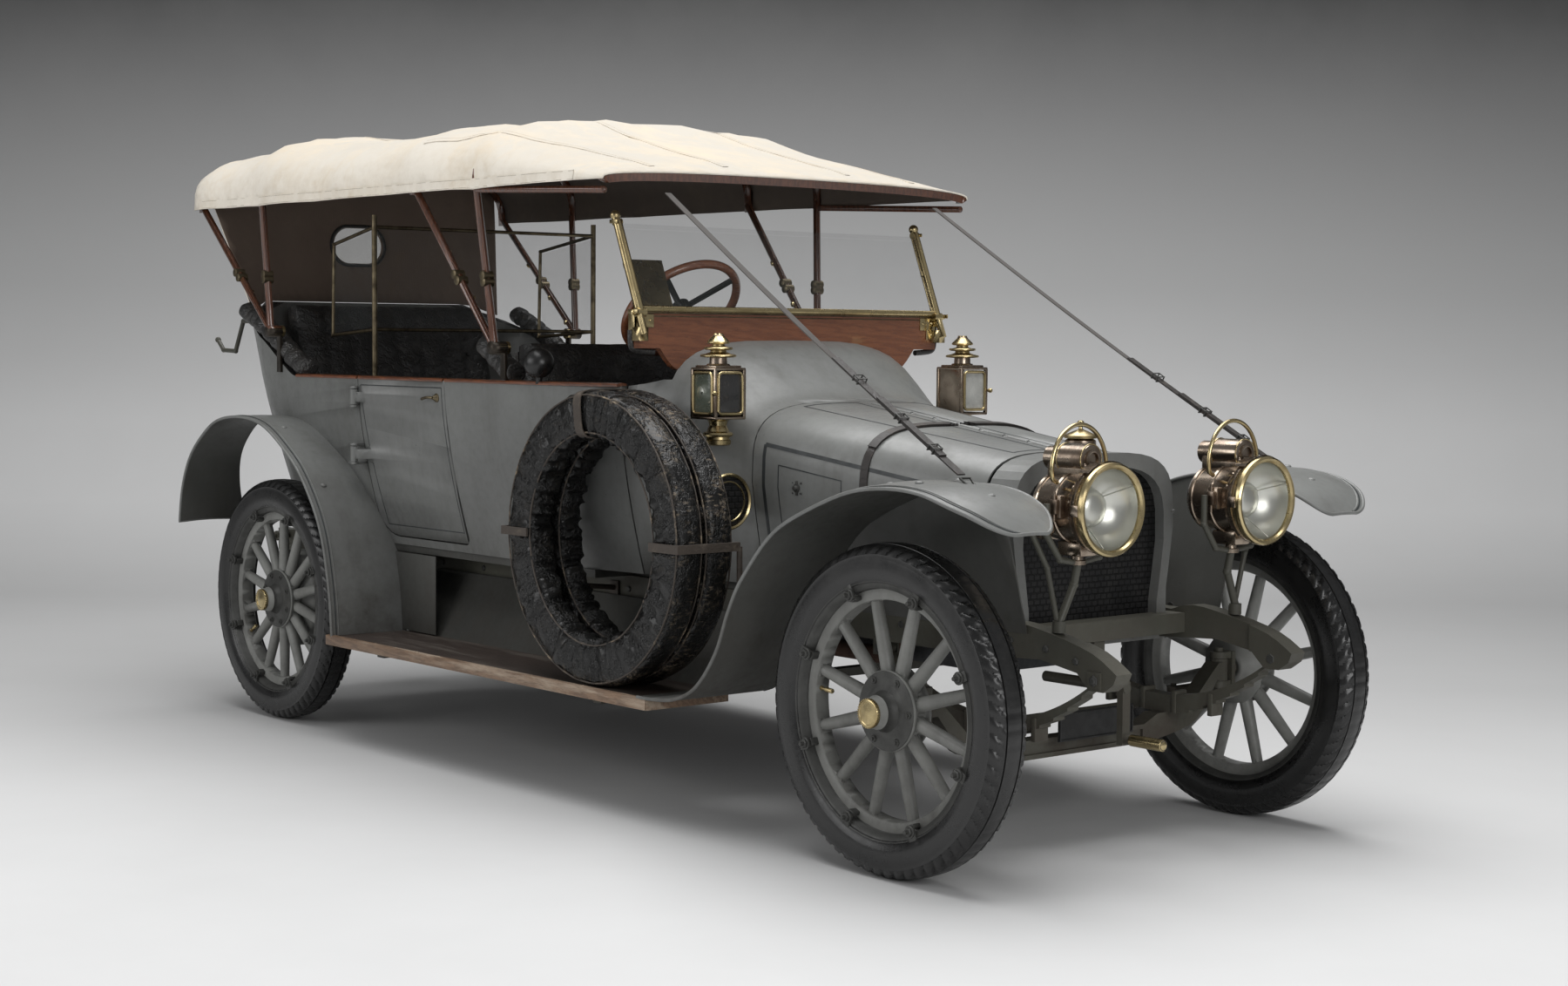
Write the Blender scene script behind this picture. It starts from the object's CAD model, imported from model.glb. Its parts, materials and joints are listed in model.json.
"""Looks of the brass-era touring car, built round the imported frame.

Units are metres in the frame's axes: +X forward, +Y to the car's left, +Z up, the ground at z = 0.
The pieces' places are given from the rear axle, and car() shifts them to the frame's origin.
"""

import json
import math

import bpy
from mathutils import Matrix, Vector, noise
from mathutils.bvhtree import BVHTree

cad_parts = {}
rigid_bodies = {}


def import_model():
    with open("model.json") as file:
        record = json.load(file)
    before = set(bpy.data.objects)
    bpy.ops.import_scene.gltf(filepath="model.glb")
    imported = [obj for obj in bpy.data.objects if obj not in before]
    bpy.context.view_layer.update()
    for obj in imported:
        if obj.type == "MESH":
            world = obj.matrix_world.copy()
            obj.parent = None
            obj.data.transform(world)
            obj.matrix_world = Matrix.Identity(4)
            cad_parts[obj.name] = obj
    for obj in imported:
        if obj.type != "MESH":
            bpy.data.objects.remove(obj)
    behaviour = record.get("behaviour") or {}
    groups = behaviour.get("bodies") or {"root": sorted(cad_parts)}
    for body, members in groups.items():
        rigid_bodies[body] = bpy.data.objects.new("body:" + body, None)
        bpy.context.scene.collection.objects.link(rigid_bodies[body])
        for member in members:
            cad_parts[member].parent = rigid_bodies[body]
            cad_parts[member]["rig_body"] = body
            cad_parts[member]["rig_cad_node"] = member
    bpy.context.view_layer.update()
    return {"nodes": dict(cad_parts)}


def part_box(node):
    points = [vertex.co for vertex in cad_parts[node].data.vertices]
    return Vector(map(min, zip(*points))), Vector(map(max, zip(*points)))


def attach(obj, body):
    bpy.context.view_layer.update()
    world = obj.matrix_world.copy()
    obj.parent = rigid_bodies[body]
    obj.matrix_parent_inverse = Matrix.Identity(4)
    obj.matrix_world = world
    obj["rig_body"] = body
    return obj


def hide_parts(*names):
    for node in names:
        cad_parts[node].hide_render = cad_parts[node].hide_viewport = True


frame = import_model()
NODES = frame["nodes"]
SIDES = (-1, 1)         # the right and the left of the car

# ---------- places of the car, from the rear axle ----------
MID = 1.3175            # from the rear axle to the frame's origin
FRONT = 3.1             # front axle
SCUTTLE = FRONT - 0.87  # where the scuttle meets the bonnet
BELT = 1.172            # height of the body's upper edge
AXLE = 0.41             # height of the axles
TRACK = 1.3             # from a right wheel to a left one
HOOD_EDGE = 1.75        # height of the hood cloth's lower edge
BOARD_Z = 0.34          # height of the running boards
WING_Y = 0.765          # from the middle to a wing's outer edge
SPARE_X = 1.95          # middle of the spare tyres
SPARE_Z = 0.7523


def car(x, y, z):
    """A point given from the rear axle, in the frame."""
    return Vector((x - MID, y, z))


def mix(a, b, t):
    return a + (b - a) * t


def limit(v, low, high):
    return min(max(v, low), high)


def ease(t):
    t = limit(t, 0, 1)
    return t * t * (3 - 2 * t)


def curve(points, steps=6):
    """A smooth line through the points."""
    points = [Vector(p) for p in points]
    line = []
    for i in range(len(points) - 1):
        a, b = points[max(i - 1, 0)], points[i]
        c, d = points[i + 1], points[min(i + 2, len(points) - 1)]
        for k in range(steps):
            t = k / steps
            line.append(0.5 * (2 * b + (c - a) * t + (2 * a - 5 * b + 4 * c - d) * t * t
                               + (3 * b - a - 3 * c + d) * t ** 3))
    return line + [points[-1]]


# ---------- finishes ----------
class Value:
    """A number that varies over a surface: sums and products of it add Math nodes."""

    def __init__(self, finish, socket):
        self.finish = finish
        self.socket = socket

    def math(self, operation, *others):
        return self.finish.node("Math", {"operation": operation}, dict(enumerate((self, *others))))

    def __add__(self, other):
        return self.math("ADD", other)

    def __sub__(self, other):
        return self.math("SUBTRACT", other)

    def __rsub__(self, other):
        return (self * -1) + other

    def __mul__(self, other):
        return self.math("MULTIPLY", other)

    def __pow__(self, other):
        return self.math("POWER", other)

    __radd__ = __add__
    __rmul__ = __mul__

    def low(self, other):
        return self.math("MINIMUM", other)

    def abs(self):
        return self.math("ABSOLUTE")

    def sin(self):
        return self.math("SINE")

    def span(self, a, b, low=0.0, high=1.0):
        """The value from a to b, spread over low to high and held there."""
        return self.finish.node("MapRange", {"clamp": True}, {
            "Value": self, "From Min": a, "From Max": b, "To Min": low, "To Max": high})


class Finish:
    """One material, made of nodes on Object coordinates."""

    def __init__(self, name, **plain):
        self.data = bpy.data.materials.new(name)
        self.data.use_nodes = True
        self.tree = self.data.node_tree
        self.shader = self.tree.nodes["Principled BSDF"]
        for socket, value in plain.items():
            self.shader.inputs[socket.replace("_", " ")].default_value = value
        self.place = self.node("TexCoord", {}, {}, "Object")

    def node(self, kind, settings, sockets, out=0):
        made = self.tree.nodes.new("ShaderNode" + kind)
        for name, value in settings.items():
            if name == "stops":
                while len(made.color_ramp.elements) < len(value):
                    made.color_ramp.elements.new(0.5)
                for element, (at, color) in zip(made.color_ramp.elements, value):
                    element.position, element.color = at, color
            else:
                setattr(made, name, value)
        for key, value in sockets.items():
            if isinstance(value, Value):
                self.tree.links.new(value.socket, made.inputs[key])
            else:
                made.inputs[key].default_value = value
        return Value(self, made.outputs[out])

    def stretch(self, x, y, z):
        return self.node("Mapping", {}, {"Vector": self.place, "Scale": (x, y, z)})

    def noise(self, scale, detail=3.0, rough=0.55, where=None):
        return self.node("TexNoise", {}, {"Vector": where or self.place, "Scale": scale, "Detail": detail,
                                          "Roughness": rough}, "Fac")

    def grain(self, scale):
        """Small cells like those of leather: the distance to the nearest edge between them."""
        return self.node("TexVoronoi", {"feature": "DISTANCE_TO_EDGE"},
                         {"Vector": self.place, "Scale": scale}, "Distance")

    def axis(self, name):
        return self.node("SeparateXYZ", {}, {0: self.place}, name)

    def blend(self, factor, a, b):
        """Colour a where factor is 0, b where it is 1."""
        color = {"data_type": "RGBA"}
        full = lambda c: c if isinstance(c, Value) else (*c, 1.0)
        return self.node("Mix", color, {0: factor, 6: full(a), 7: full(b)}, 2)

    def set(self, **sockets):
        for name, value in sockets.items():
            self.tree.links.new(value.socket, self.shader.inputs[name.replace("_", " ")])
        return self

    def bump(self, height, depth, strength=1.0):
        """Bumps of that depth in metres, on top of earlier ones."""
        links = self.shader.inputs["Normal"].links
        before = {"Normal": Value(self, links[0].from_socket)} if links else {}
        made = self.node("Bump", {}, {"Height": height, "Distance": depth, "Strength": strength, **before})
        return self.set(Normal=made)


def paint(name, color, dark, grime, rough=0.36, dirt_low=0.25, dirt_high=0.8):
    """Old satin coach paint: cloudy, dusty below and in streaks, with fine scratches."""
    f = Finish(name, Coat_Roughness=0.3, Specular_IOR_Level=0.34)
    cloud = f.noise(2.3, 4, 0.6).span(0.35, 0.65)
    fine = f.noise(38, 5, 0.65).span(0.42, 0.7)
    streak = f.noise(9, 4, 0.6, f.stretch(1, 1, 0.12)).span(0.5, 0.72)
    low = f.axis("Z").span(dirt_high, dirt_low)
    dirt = (low * f.noise(7, 5, 0.7).span(0.3, 0.7) + streak * 0.25 + fine * 0.12).low(1.0)
    base = f.blend(cloud, color, dark)
    chips = f.noise(120, 2, 0.5).span(0.70, 0.74) * f.noise(5, 2).span(0.5, 0.7)
    worn = f.blend(chips * 0.6, f.blend(dirt, base, grime), [c * 0.35 for c in dark])
    f.set(Base_Color=worn, Roughness=dirt * 0.3 + fine * 0.08 + rough,
          Coat_Weight=(1 - dirt) * 0.24)
    f.bump(f.noise(60, 3), 0.0004, 0.5)
    return f.bump(f.noise(4, 2), 0.004, 0.35).data


def metal(name, color, tarnish, rough=0.28, spots=26.0):
    f = Finish(name, Metallic=1.0)
    stain = (f.noise(spots, 5, 0.65).span(0.42, 0.68) * 0.75 + f.noise(5, 3).span(0.4, 0.7) * 0.4).low(1.0)
    f.set(Base_Color=f.blend(stain, color, tarnish), Roughness=stain * 0.28 + rough)
    return f.bump(f.noise(90, 2), 0.00004, 0.3).data


def leather(name, color, scuff, amount, rough=0.42, fold=0.004):
    """Aged leather: fine grain, soft creases and pale rubbed places."""
    f = Finish(name, Specular_IOR_Level=0.5)
    grain = f.grain(260)
    crease = f.noise(11, 4, 0.62, f.stretch(1, 1.4, 1.8))
    ridge = (crease - 0.5).abs().span(0.0, 0.09)
    rubbed = (f.noise(17, 6, 0.7).span(0.52, 0.66) * f.noise(60, 4, 0.7).span(0.4, 0.6) * amount).low(1.0)
    f.set(Base_Color=f.blend(rubbed, color, scuff), Roughness=rubbed * 0.3 + f.noise(30, 3) * 0.15 + rough)
    f.bump(grain, 0.0006, 0.4)
    return f.bump(ridge + crease * 2, fold, 0.6).data


def wood(name, light, dark, along, rough=0.3, coat=0.5, wear=0.0, pale=(0.3, 0.26, 0.2)):
    """Grain along one axis ("X", "Y" or "Z"), varnished, with worn pale places."""
    f = Finish(name, Coat_Roughness=0.12)
    shape = {"X": (0.12, 1, 1), "Y": (1, 0.12, 1), "Z": (1, 1, 0.12)}[along]
    where = f.stretch(*shape)
    ring = f.node("TexWave", {"bands_direction": "DIAGONAL"}, {
        "Vector": where, "Scale": 26, "Distortion": 9, "Detail": 3, "Detail Scale": 2.5}, "Fac")
    pore = f.noise(420, 2, 0.6, where).span(0.55, 0.75)
    tone = (ring * 0.6 + f.noise(14, 4, 0.6, where) * 0.5).low(1.0)
    worn = (f.noise(13, 6, 0.75, where).span(0.5, 0.62) * wear).low(1.0)
    color = f.blend(worn, f.blend(pore * 0.5, f.blend(tone, light, dark), [c * 0.4 for c in dark]), pale)
    f.set(Base_Color=color, Roughness=worn * 0.35 + pore * 0.1 + rough, Coat_Weight=(1 - worn) * coat)
    return f.bump(ring * 0.3 + pore, 0.0005, 0.5).data


def cloth(name, color, stain, dirt, weave=900.0, rough=0.9, soft=0.04):
    """Plain-woven canvas with rain stains and dust."""
    f = Finish(name, Sheen_Weight=soft, Sheen_Roughness=0.5)
    a, b = f.axis("X") * weave, f.axis("Y") * weave
    thread = a.sin() * b.sin()
    blot = f.noise(3.1, 6, 0.68).span(0.47, 0.68)
    edge = (f.noise(1.7, 5, 0.62) - 0.52).abs().span(0.022, 0.0)
    dust = f.noise(24, 5, 0.7).span(0.45, 0.75)
    up = f.node("SeparateXYZ", {}, {0: f.node("NewGeometry", {}, {}, "Normal")}, "Z").span(0.2, 0.95)
    color = f.blend(up * 0.62, color, [c * 0.3 for c in color])     # greyed where it faces the sky
    base = f.blend((blot * 0.75 + edge * 0.35).low(1.0) * dirt, color, stain)
    f.set(Base_Color=f.blend(dust * 0.22, base, [c * 0.8 for c in stain]), Roughness=dust * 0.06 + rough)
    f.bump(thread, 0.0003, 0.35)
    return f.bump(f.noise(7, 4, 0.6), 0.006, 0.4).data


def rubber():
    f = Finish("tyre_rubber", Specular_IOR_Level=0.55)
    dust = (f.noise(9, 6, 0.7).span(0.45, 0.75) * 0.7 + f.noise(70, 4, 0.6).span(0.5, 0.8) * 0.5).low(1.0)
    f.set(Base_Color=f.blend(dust, (0.007, 0.007, 0.007), (0.018, 0.0175, 0.017)),
          Roughness=dust * 0.2 + 0.27)
    return f.bump(f.noise(180, 3), 0.0004, 0.5).data


def clear_glass(name, tint, alpha):
    f = Finish(name, Base_Color=(*tint, 1), Roughness=0.03, Specular_IOR_Level=0.7)
    film = f.noise(14, 5, 0.7).span(0.45, 0.8)
    f.set(Alpha=film * 0.02 + alpha)
    return f.data


def honeycomb():
    """The radiator's block of small tubes, laid in courses."""
    f = Finish("radiator_core", Metallic=0.5)
    flat = f.node("CombineXYZ", {}, {0: f.axis("Y"), 1: f.axis("Z")})
    bricks = f.node("TexBrick", {}, {
        "Vector": flat, "Scale": 22.0, "Mortar Size": 0.06, "Mortar Smooth": 0.4, "Brick Width": 0.5,
        "Row Height": 0.35, "Color1": (1, 1, 1, 1), "Color2": (0.6, 0.6, 0.6, 1)}, "Fac")
    dust = f.noise(16, 5, 0.7).span(0.4, 0.7)
    f.set(Base_Color=f.blend(bricks, f.blend(dust * 0.6, (0.017, 0.017, 0.018), (0.034, 0.032, 0.030)),
                             (0.005, 0.005, 0.005)), Roughness=dust * 0.25 + 0.35)
    return f.bump(bricks * -1, 0.002, 0.8).data


def cover_leather():
    """Black leathercloth of the spare tyres' covers, rubbed pale along its outer seams."""
    f = Finish("cover_leather", Specular_IOR_Level=0.4)
    dx, dz = f.axis("X") - (SPARE_X - MID), f.axis("Z") - SPARE_Z
    round_edge = ((dx * dx + dz * dz) ** 0.5).span(0.376, 0.404, 0.10, 1.0)
    patch = f.noise(15, 6, 0.72).span(0.53, 0.62) * f.noise(85, 4, 0.7).span(0.46, 0.6) * 0.55
    thread = f.noise(150, 3, 0.6, f.stretch(1, 0.25, 1)).span(0.56, 0.66) * f.noise(9, 3).span(0.45, 0.6)
    rubbed = ((patch + thread * 0.8) * round_edge).low(1.0)
    grain = f.grain(240)
    crease = f.noise(12, 5, 0.65)
    f.set(Base_Color=f.blend(rubbed, f.blend(crease, (0.003, 0.003, 0.003), (0.008, 0.0078, 0.0075)),
                             (0.22, 0.175, 0.125)), Roughness=rubbed * 0.35 + f.noise(30, 3) * 0.18 + 0.2)
    f.bump(grain, 0.0005, 0.35)
    return f.bump((crease - 0.5).abs().span(0, 0.08) + crease * 2, 0.005, 0.6).data


def silvered():
    f = Finish("reflector_silver", Metallic=1.0, Base_Color=(0.60, 0.60, 0.55, 1))
    f.set(Roughness=f.noise(14, 3).span(0.4, 0.8) * 0.1 + 0.3)
    return f.data


def plain(name, color, rough=0.6, metallic=0.0, depth=0.0006):
    f = Finish(name, Metallic=metallic)
    cloud = f.noise(22, 5, 0.65).span(0.38, 0.7)
    f.set(Base_Color=f.blend(cloud, color, [c * 0.62 for c in color]), Roughness=cloud * 0.2 + rough)
    return f.bump(f.noise(90, 4), depth, 0.6).data


GREY, GREY_DARK, GRIME = (0.196, 0.201, 0.194), (0.150, 0.153, 0.148), (0.052, 0.046, 0.038)
LOOK = {"tyre": rubber(), "radiator_core": honeycomb(), "cover_leather": cover_leather(),
        "silver": silvered()}
for make, name, *values in (
        (paint, "body_paint", GREY, GREY_DARK, GRIME),
        (paint, "chassis_paint", (0.090, 0.090, 0.070), (0.052, 0.052, 0.041), (0.06, 0.05, 0.04), 0.5),
        (paint, "wheel_paint", (0.24, 0.242, 0.228), (0.17, 0.171, 0.16), (0.03, 0.027, 0.023), 0.42,
         -0.4, 0.6),
        (paint, "valance_paint", (0.085, 0.086, 0.08), (0.06, 0.061, 0.056), (0.05, 0.045, 0.038), 0.45),
        (plain, "line_paint", (0.035, 0.04, 0.042), 0.4),
        (plain, "engine_iron", (0.05, 0.052, 0.055), 0.6),
        (plain, "exhaust_iron", (0.09, 0.05, 0.035), 0.8, 0.3),
        (plain, "stick_iron", (0.055, 0.045, 0.035), 0.35, 0.7),
        (plain, "pale_pane", (0.52, 0.52, 0.49), 0.2, 0.0, 0.0001),
        (plain, "plate_black", (0.012, 0.012, 0.012), 0.45),
        (plain, "thread", (0.48, 0.40, 0.30), 0.8),
        (plain, "wheel_iron", (0.06, 0.06, 0.056), 0.4, 0.25),
        (wood, "board_wood", (0.05, 0.034, 0.026), (0.03, 0.02, 0.016), "X", 0.55, 0.05, 0.6,
         (0.10, 0.085, 0.07)),
        (wood, "board_edge", (0.25, 0.16, 0.10), (0.13, 0.08, 0.05), "X", 0.5, 0.1, 0.8,
         (0.42, 0.34, 0.26)),
        (wood, "mahogany", (0.15, 0.055, 0.028), (0.07, 0.027, 0.015), "Z", 0.2, 0.9),
        (wood, "mahogany_long", (0.22, 0.075, 0.03), (0.09, 0.03, 0.014), "X"),
        (wood, "mahogany_flat", (0.26, 0.097, 0.044), (0.17, 0.060, 0.029), "Y", 0.26, 0.7),
        (leather, "seat_leather", (0.030, 0.029, 0.028), (0.10, 0.09, 0.08), 0.5, 0.3),
        (leather, "strap_leather", (0.055, 0.043, 0.034), (0.16, 0.13, 0.1), 0.8, 0.55, 0.001),
        (leather, "dark_strap", (0.022, 0.018, 0.016), (0.10, 0.08, 0.065), 0.8, 0.45, 0.001),
        (leather, "worn_edge", (0.05, 0.04, 0.032), (0.33, 0.26, 0.18), 1.0, 0.55, 0.001),
        (metal, "lamp_metal", (0.42, 0.35, 0.28), (0.13, 0.09, 0.066), 0.15, 16),
        (metal, "brass", (0.60, 0.49, 0.27), (0.30, 0.23, 0.12), 0.17, 9),
        (metal, "dull_brass", (0.20, 0.165, 0.105), (0.07, 0.055, 0.038), 0.36),
        (cloth, "canvas", (0.86, 0.80, 0.70), (0.64, 0.53, 0.38), 0.6),
        (cloth, "lining", (0.15, 0.125, 0.105), (0.2, 0.16, 0.125), 0.6),
        (cloth, "curtain_cloth", (0.20, 0.15, 0.118), (0.24, 0.185, 0.145), 0.6),
        (cloth, "webbing", (0.115, 0.105, 0.098), (0.07, 0.062, 0.055), 0.8),
        (clear_glass, "lamp_glass", (0.5, 0.52, 0.52), 0.03),
        (clear_glass, "screen_glass", (0.12, 0.13, 0.13), 0.07),
        (clear_glass, "lamp_pane", (0.05, 0.05, 0.05), 0.65),
        (clear_glass, "side_glass", (0.16, 0.19, 0.15), 0.35),
        (clear_glass, "celluloid", (0.75, 0.72, 0.63), 0.2)):
    LOOK[name] = make(name, *values)


def give(piece, look):
    piece.data.materials.clear()
    piece.data.materials.append(LOOK[look])
    return piece


# ---------- ways of making pieces ----------
def clear():
    bpy.ops.object.select_all(action="DESELECT")


def alone(piece):
    clear()
    piece.select_set(True)
    bpy.context.view_layer.objects.active = piece


def freeze(piece):
    """Puts the piece's place, turn and size into its mesh."""
    alone(piece)
    bpy.ops.object.transform_apply(location=True, rotation=True, scale=True)
    return piece


def finish(piece, name, look, body, slot=None, sharp=35.0):
    """Names a piece, gives it a look, and lets it ride on a body; edges over sharp degrees stay sharp."""
    alone(piece)
    bpy.ops.object.shade_smooth_by_angle(angle=math.radians(sharp))
    piece.name = piece.data.name = name
    give(piece, look)
    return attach(piece, body)


def round_edges(piece, width, segments=2):
    """Rounds the edges where faces meet at 40 degrees or more."""
    bevel = piece.modifiers.new("edges", "BEVEL")
    bevel.width, bevel.segments, bevel.angle_limit = width, segments, math.radians(40)
    alone(piece)
    bpy.ops.object.modifier_apply(modifier=bevel.name)
    return piece


def slab(low, high, edge=0.002):
    """A block between two corners, with rounded edges."""
    clear()
    low, high = Vector(low), Vector(high)
    bpy.ops.mesh.primitive_cube_add(size=1, location=(low + high) / 2, scale=high - low)
    piece = freeze(bpy.context.object)
    return round_edges(piece, min(edge, 0.45 * min(high - low))) if edge else piece


def turned(stations, centre=(0, 0, 0), toward=(0, 0, 1), sides=32):
    """A turned piece: a disc that is extruded and sized station by station, (height, radius)."""
    clear()
    (z, r), rest = stations[0], stations[1:]
    bpy.ops.mesh.primitive_circle_add(vertices=sides, radius=r, fill_type="NGON", location=(0, 0, z))
    piece = freeze(bpy.context.object)
    bpy.ops.object.mode_set(mode="EDIT")
    bpy.ops.mesh.select_all(action="SELECT")
    for height, radius in rest:
        bpy.ops.mesh.extrude_region_move(TRANSFORM_OT_translate={"value": (0, 0, height - z)})
        bpy.ops.transform.resize(value=(radius / r, radius / r, 1), center_override=(0, 0, height))
        z, r = height, radius
    bpy.ops.mesh.select_all(action="SELECT")
    bpy.ops.mesh.normals_make_consistent(inside=False)
    bpy.ops.object.mode_set(mode="OBJECT")
    turn = Vector((0, 0, 1)).rotation_difference(Vector(toward).normalized())
    piece.matrix_world = Matrix.Translation(centre) @ turn.to_matrix().to_4x4()
    return freeze(piece)


def rod(a, b, r, r2=None, sides=16):
    a, b = Vector(a), Vector(b)
    length = (b - a).length
    return turned([(0, r), (length, r2 or r)], a, b - a, sides)


def wire(points, r, closed=False, sides=4):
    """A round bar along a line of points."""
    clear()
    bpy.ops.curve.primitive_bezier_curve_add()
    piece = bpy.context.object
    line = piece.data
    line.splines.clear()
    spline = line.splines.new("POLY")
    spline.points.add(len(points) - 1)
    for point, at in zip(spline.points, points):
        point.co = (*at, 1)
    spline.use_cyclic_u = closed
    line.dimensions, line.bevel_depth, line.bevel_resolution = "3D", r, sides
    line.use_fill_caps = not closed
    piece.matrix_world = Matrix.Identity(4)
    alone(piece)
    bpy.ops.object.convert(target="MESH")
    return bpy.context.object


def grid(rows):
    """A sheet through rows of points, each row as long as the others."""
    clear()
    m, n = len(rows), len(rows[0])
    bpy.ops.mesh.primitive_grid_add(x_subdivisions=n - 1, y_subdivisions=m - 1, size=1)
    piece = bpy.context.object
    for vertex, point in zip(piece.data.vertices, [p for row in rows for p in row]):
        vertex.co = point
    return piece


def mend(piece, gap=0.00002, ends=False):
    """Merges points within the gap, closes open ends if asked, and turns the faces outward."""
    alone(piece)
    bpy.ops.object.mode_set(mode="EDIT")
    bpy.ops.mesh.select_all(action="SELECT")
    if gap:
        bpy.ops.mesh.remove_doubles(threshold=gap)
    if ends:
        bpy.ops.mesh.select_all(action="DESELECT")
        bpy.ops.mesh.select_non_manifold()
        bpy.ops.mesh.edge_face_add()
        bpy.ops.mesh.select_all(action="SELECT")
    bpy.ops.mesh.normals_make_consistent(inside=False)
    bpy.ops.object.mode_set(mode="OBJECT")
    return piece


def cut_below(piece, at):
    """Takes away what is lower than a point, and closes the cut."""
    alone(piece)
    bpy.ops.object.mode_set(mode="EDIT")
    bpy.ops.mesh.select_all(action="SELECT")
    bpy.ops.mesh.bisect(plane_co=at, plane_no=(0, 0, 1), clear_inner=True, use_fill=True)
    bpy.ops.object.mode_set(mode="OBJECT")


def finer(piece):
    """Cuts each face in four and leaves the shape as it is."""
    cut = piece.modifiers.new("finer", "SUBSURF")
    cut.subdivision_type = "SIMPLE"
    cut.levels = cut.render_levels = 1
    alone(piece)
    bpy.ops.object.modifier_apply(modifier=cut.name)
    return piece


def thicken(piece, t, offset=-1.0):
    wall = piece.modifiers.new("wall", "SOLIDIFY")
    wall.thickness, wall.offset, wall.use_even_offset = t, offset, True
    alone(piece)
    bpy.ops.object.modifier_apply(modifier=wall.name)
    return piece


def join(pieces):
    clear()
    for piece in pieces:
        piece.select_set(True)
    bpy.context.view_layer.objects.active = pieces[0]
    bpy.ops.object.join()
    return bpy.context.object


def copy(piece, matrix=None):
    """A copy with its own mesh, moved by a matrix. A mirrored copy is turned the right way out."""
    new = piece.copy()
    new.data = piece.data.copy()
    bpy.context.scene.collection.objects.link(new)
    if matrix is not None:
        new.data.transform(matrix)
        if matrix.determinant() < 0:
            new.data.flip_normals()
    return new


MIRROR = Matrix.Diagonal((1, -1, 1, 1))


def both(piece):
    """The piece and its mirror image on the other side of the car."""
    return join([piece, copy(piece, MIRROR)])


def skin_of(node):
    """A merged copy of a node's shape, ready to be worked on."""
    source = NODES[node]
    piece = source.copy()
    piece.data = source.data.copy()
    bpy.context.scene.collection.objects.link(piece)
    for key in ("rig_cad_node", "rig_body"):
        del piece[key]
    piece.parent = None
    alone(piece)
    bpy.ops.object.mode_set(mode="EDIT")
    bpy.ops.mesh.select_all(action="SELECT")
    bpy.ops.mesh.remove_doubles(threshold=0.00002)
    bpy.ops.object.mode_set(mode="OBJECT")
    return piece


def smooth_copy(node, look, sharp=38.0, slot=None):
    """A node's own shape with its facets shaded smooth, standing for the node."""
    piece = skin_of(node)
    finish(piece, node + "_skin", look, NODES[node]["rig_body"], slot, sharp)
    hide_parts(node)
    return piece


def second_look(piece, look, chosen):
    """Gives another look to the faces that chosen(face) picks."""
    piece.data.materials.append(LOOK[look])
    for face in piece.data.polygons:
        if chosen(face):
            face.material_index = 1


def faces_of(piece):
    """A search tree of a piece's faces."""
    return BVHTree.FromPolygons([v.co.copy() for v in piece.data.vertices],
                                [list(f.vertices) for f in piece.data.polygons])


def surface(*names):
    """A search tree of the named nodes' faces."""
    points, faces = [], []
    for name in names:
        data = NODES[name].data
        start = len(points)
        points += [v.co.copy() for v in data.vertices]
        faces += [[start + i for i in p.vertices] for p in data.polygons]
    return BVHTree.FromPolygons(points, faces)


def lay(tree, points, toward, far=0.6):
    """The points dropped onto a surface along a direction, with the surface's normal at each."""
    toward = Vector(toward).normalized()
    found = []
    for p in points:
        at, normal, _, _ = tree.ray_cast(Vector(p) - toward * far, toward)
        if at:
            found.append((at, -normal if normal.dot(toward) > 0 else normal))
    return found


def ribbon(laid, width, lift=0.0004, depth=0.0008):
    """A flat band along points that lie on a surface."""
    rows = []
    for i, (at, normal) in enumerate(laid):
        along = laid[min(i + 1, len(laid) - 1)][0] - laid[max(i - 1, 0)][0]
        across = along.cross(normal).normalized() * width / 2
        rows.append([at + normal * (lift + depth) + across, at + normal * (lift + depth) - across,
                     at + normal * lift - across, at + normal * lift + across])
    return grid([row + [row[0]] for row in rows])


# ---------- the view, the room and the light ----------
def set_view():
    """A long lens that looks at the car from its right front."""
    clear()
    bpy.ops.object.camera_add()
    camera = bpy.context.object
    roll = math.radians(0.4336)
    right, up = Vector((0.6411, 0.7675, 0)), Vector((-0.0493, 0.0412, 0.9979))
    back = Vector((0.7659, -0.6397, 0.0642))
    across = right * math.cos(roll) + up * math.sin(roll)
    upward = up * math.cos(roll) - right * math.sin(roll)
    turn = Matrix((across, upward, back)).transposed().to_4x4()
    camera.matrix_world = Matrix.Translation((6.0020, -4.5319, 1.3063)) @ turn
    camera.data.lens = 54.447
    camera.data.sensor_width = 36.0
    camera.data.clip_end = 200
    bpy.context.scene.camera = camera
    bpy.context.scene.view_settings.view_transform = "Standard"


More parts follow.
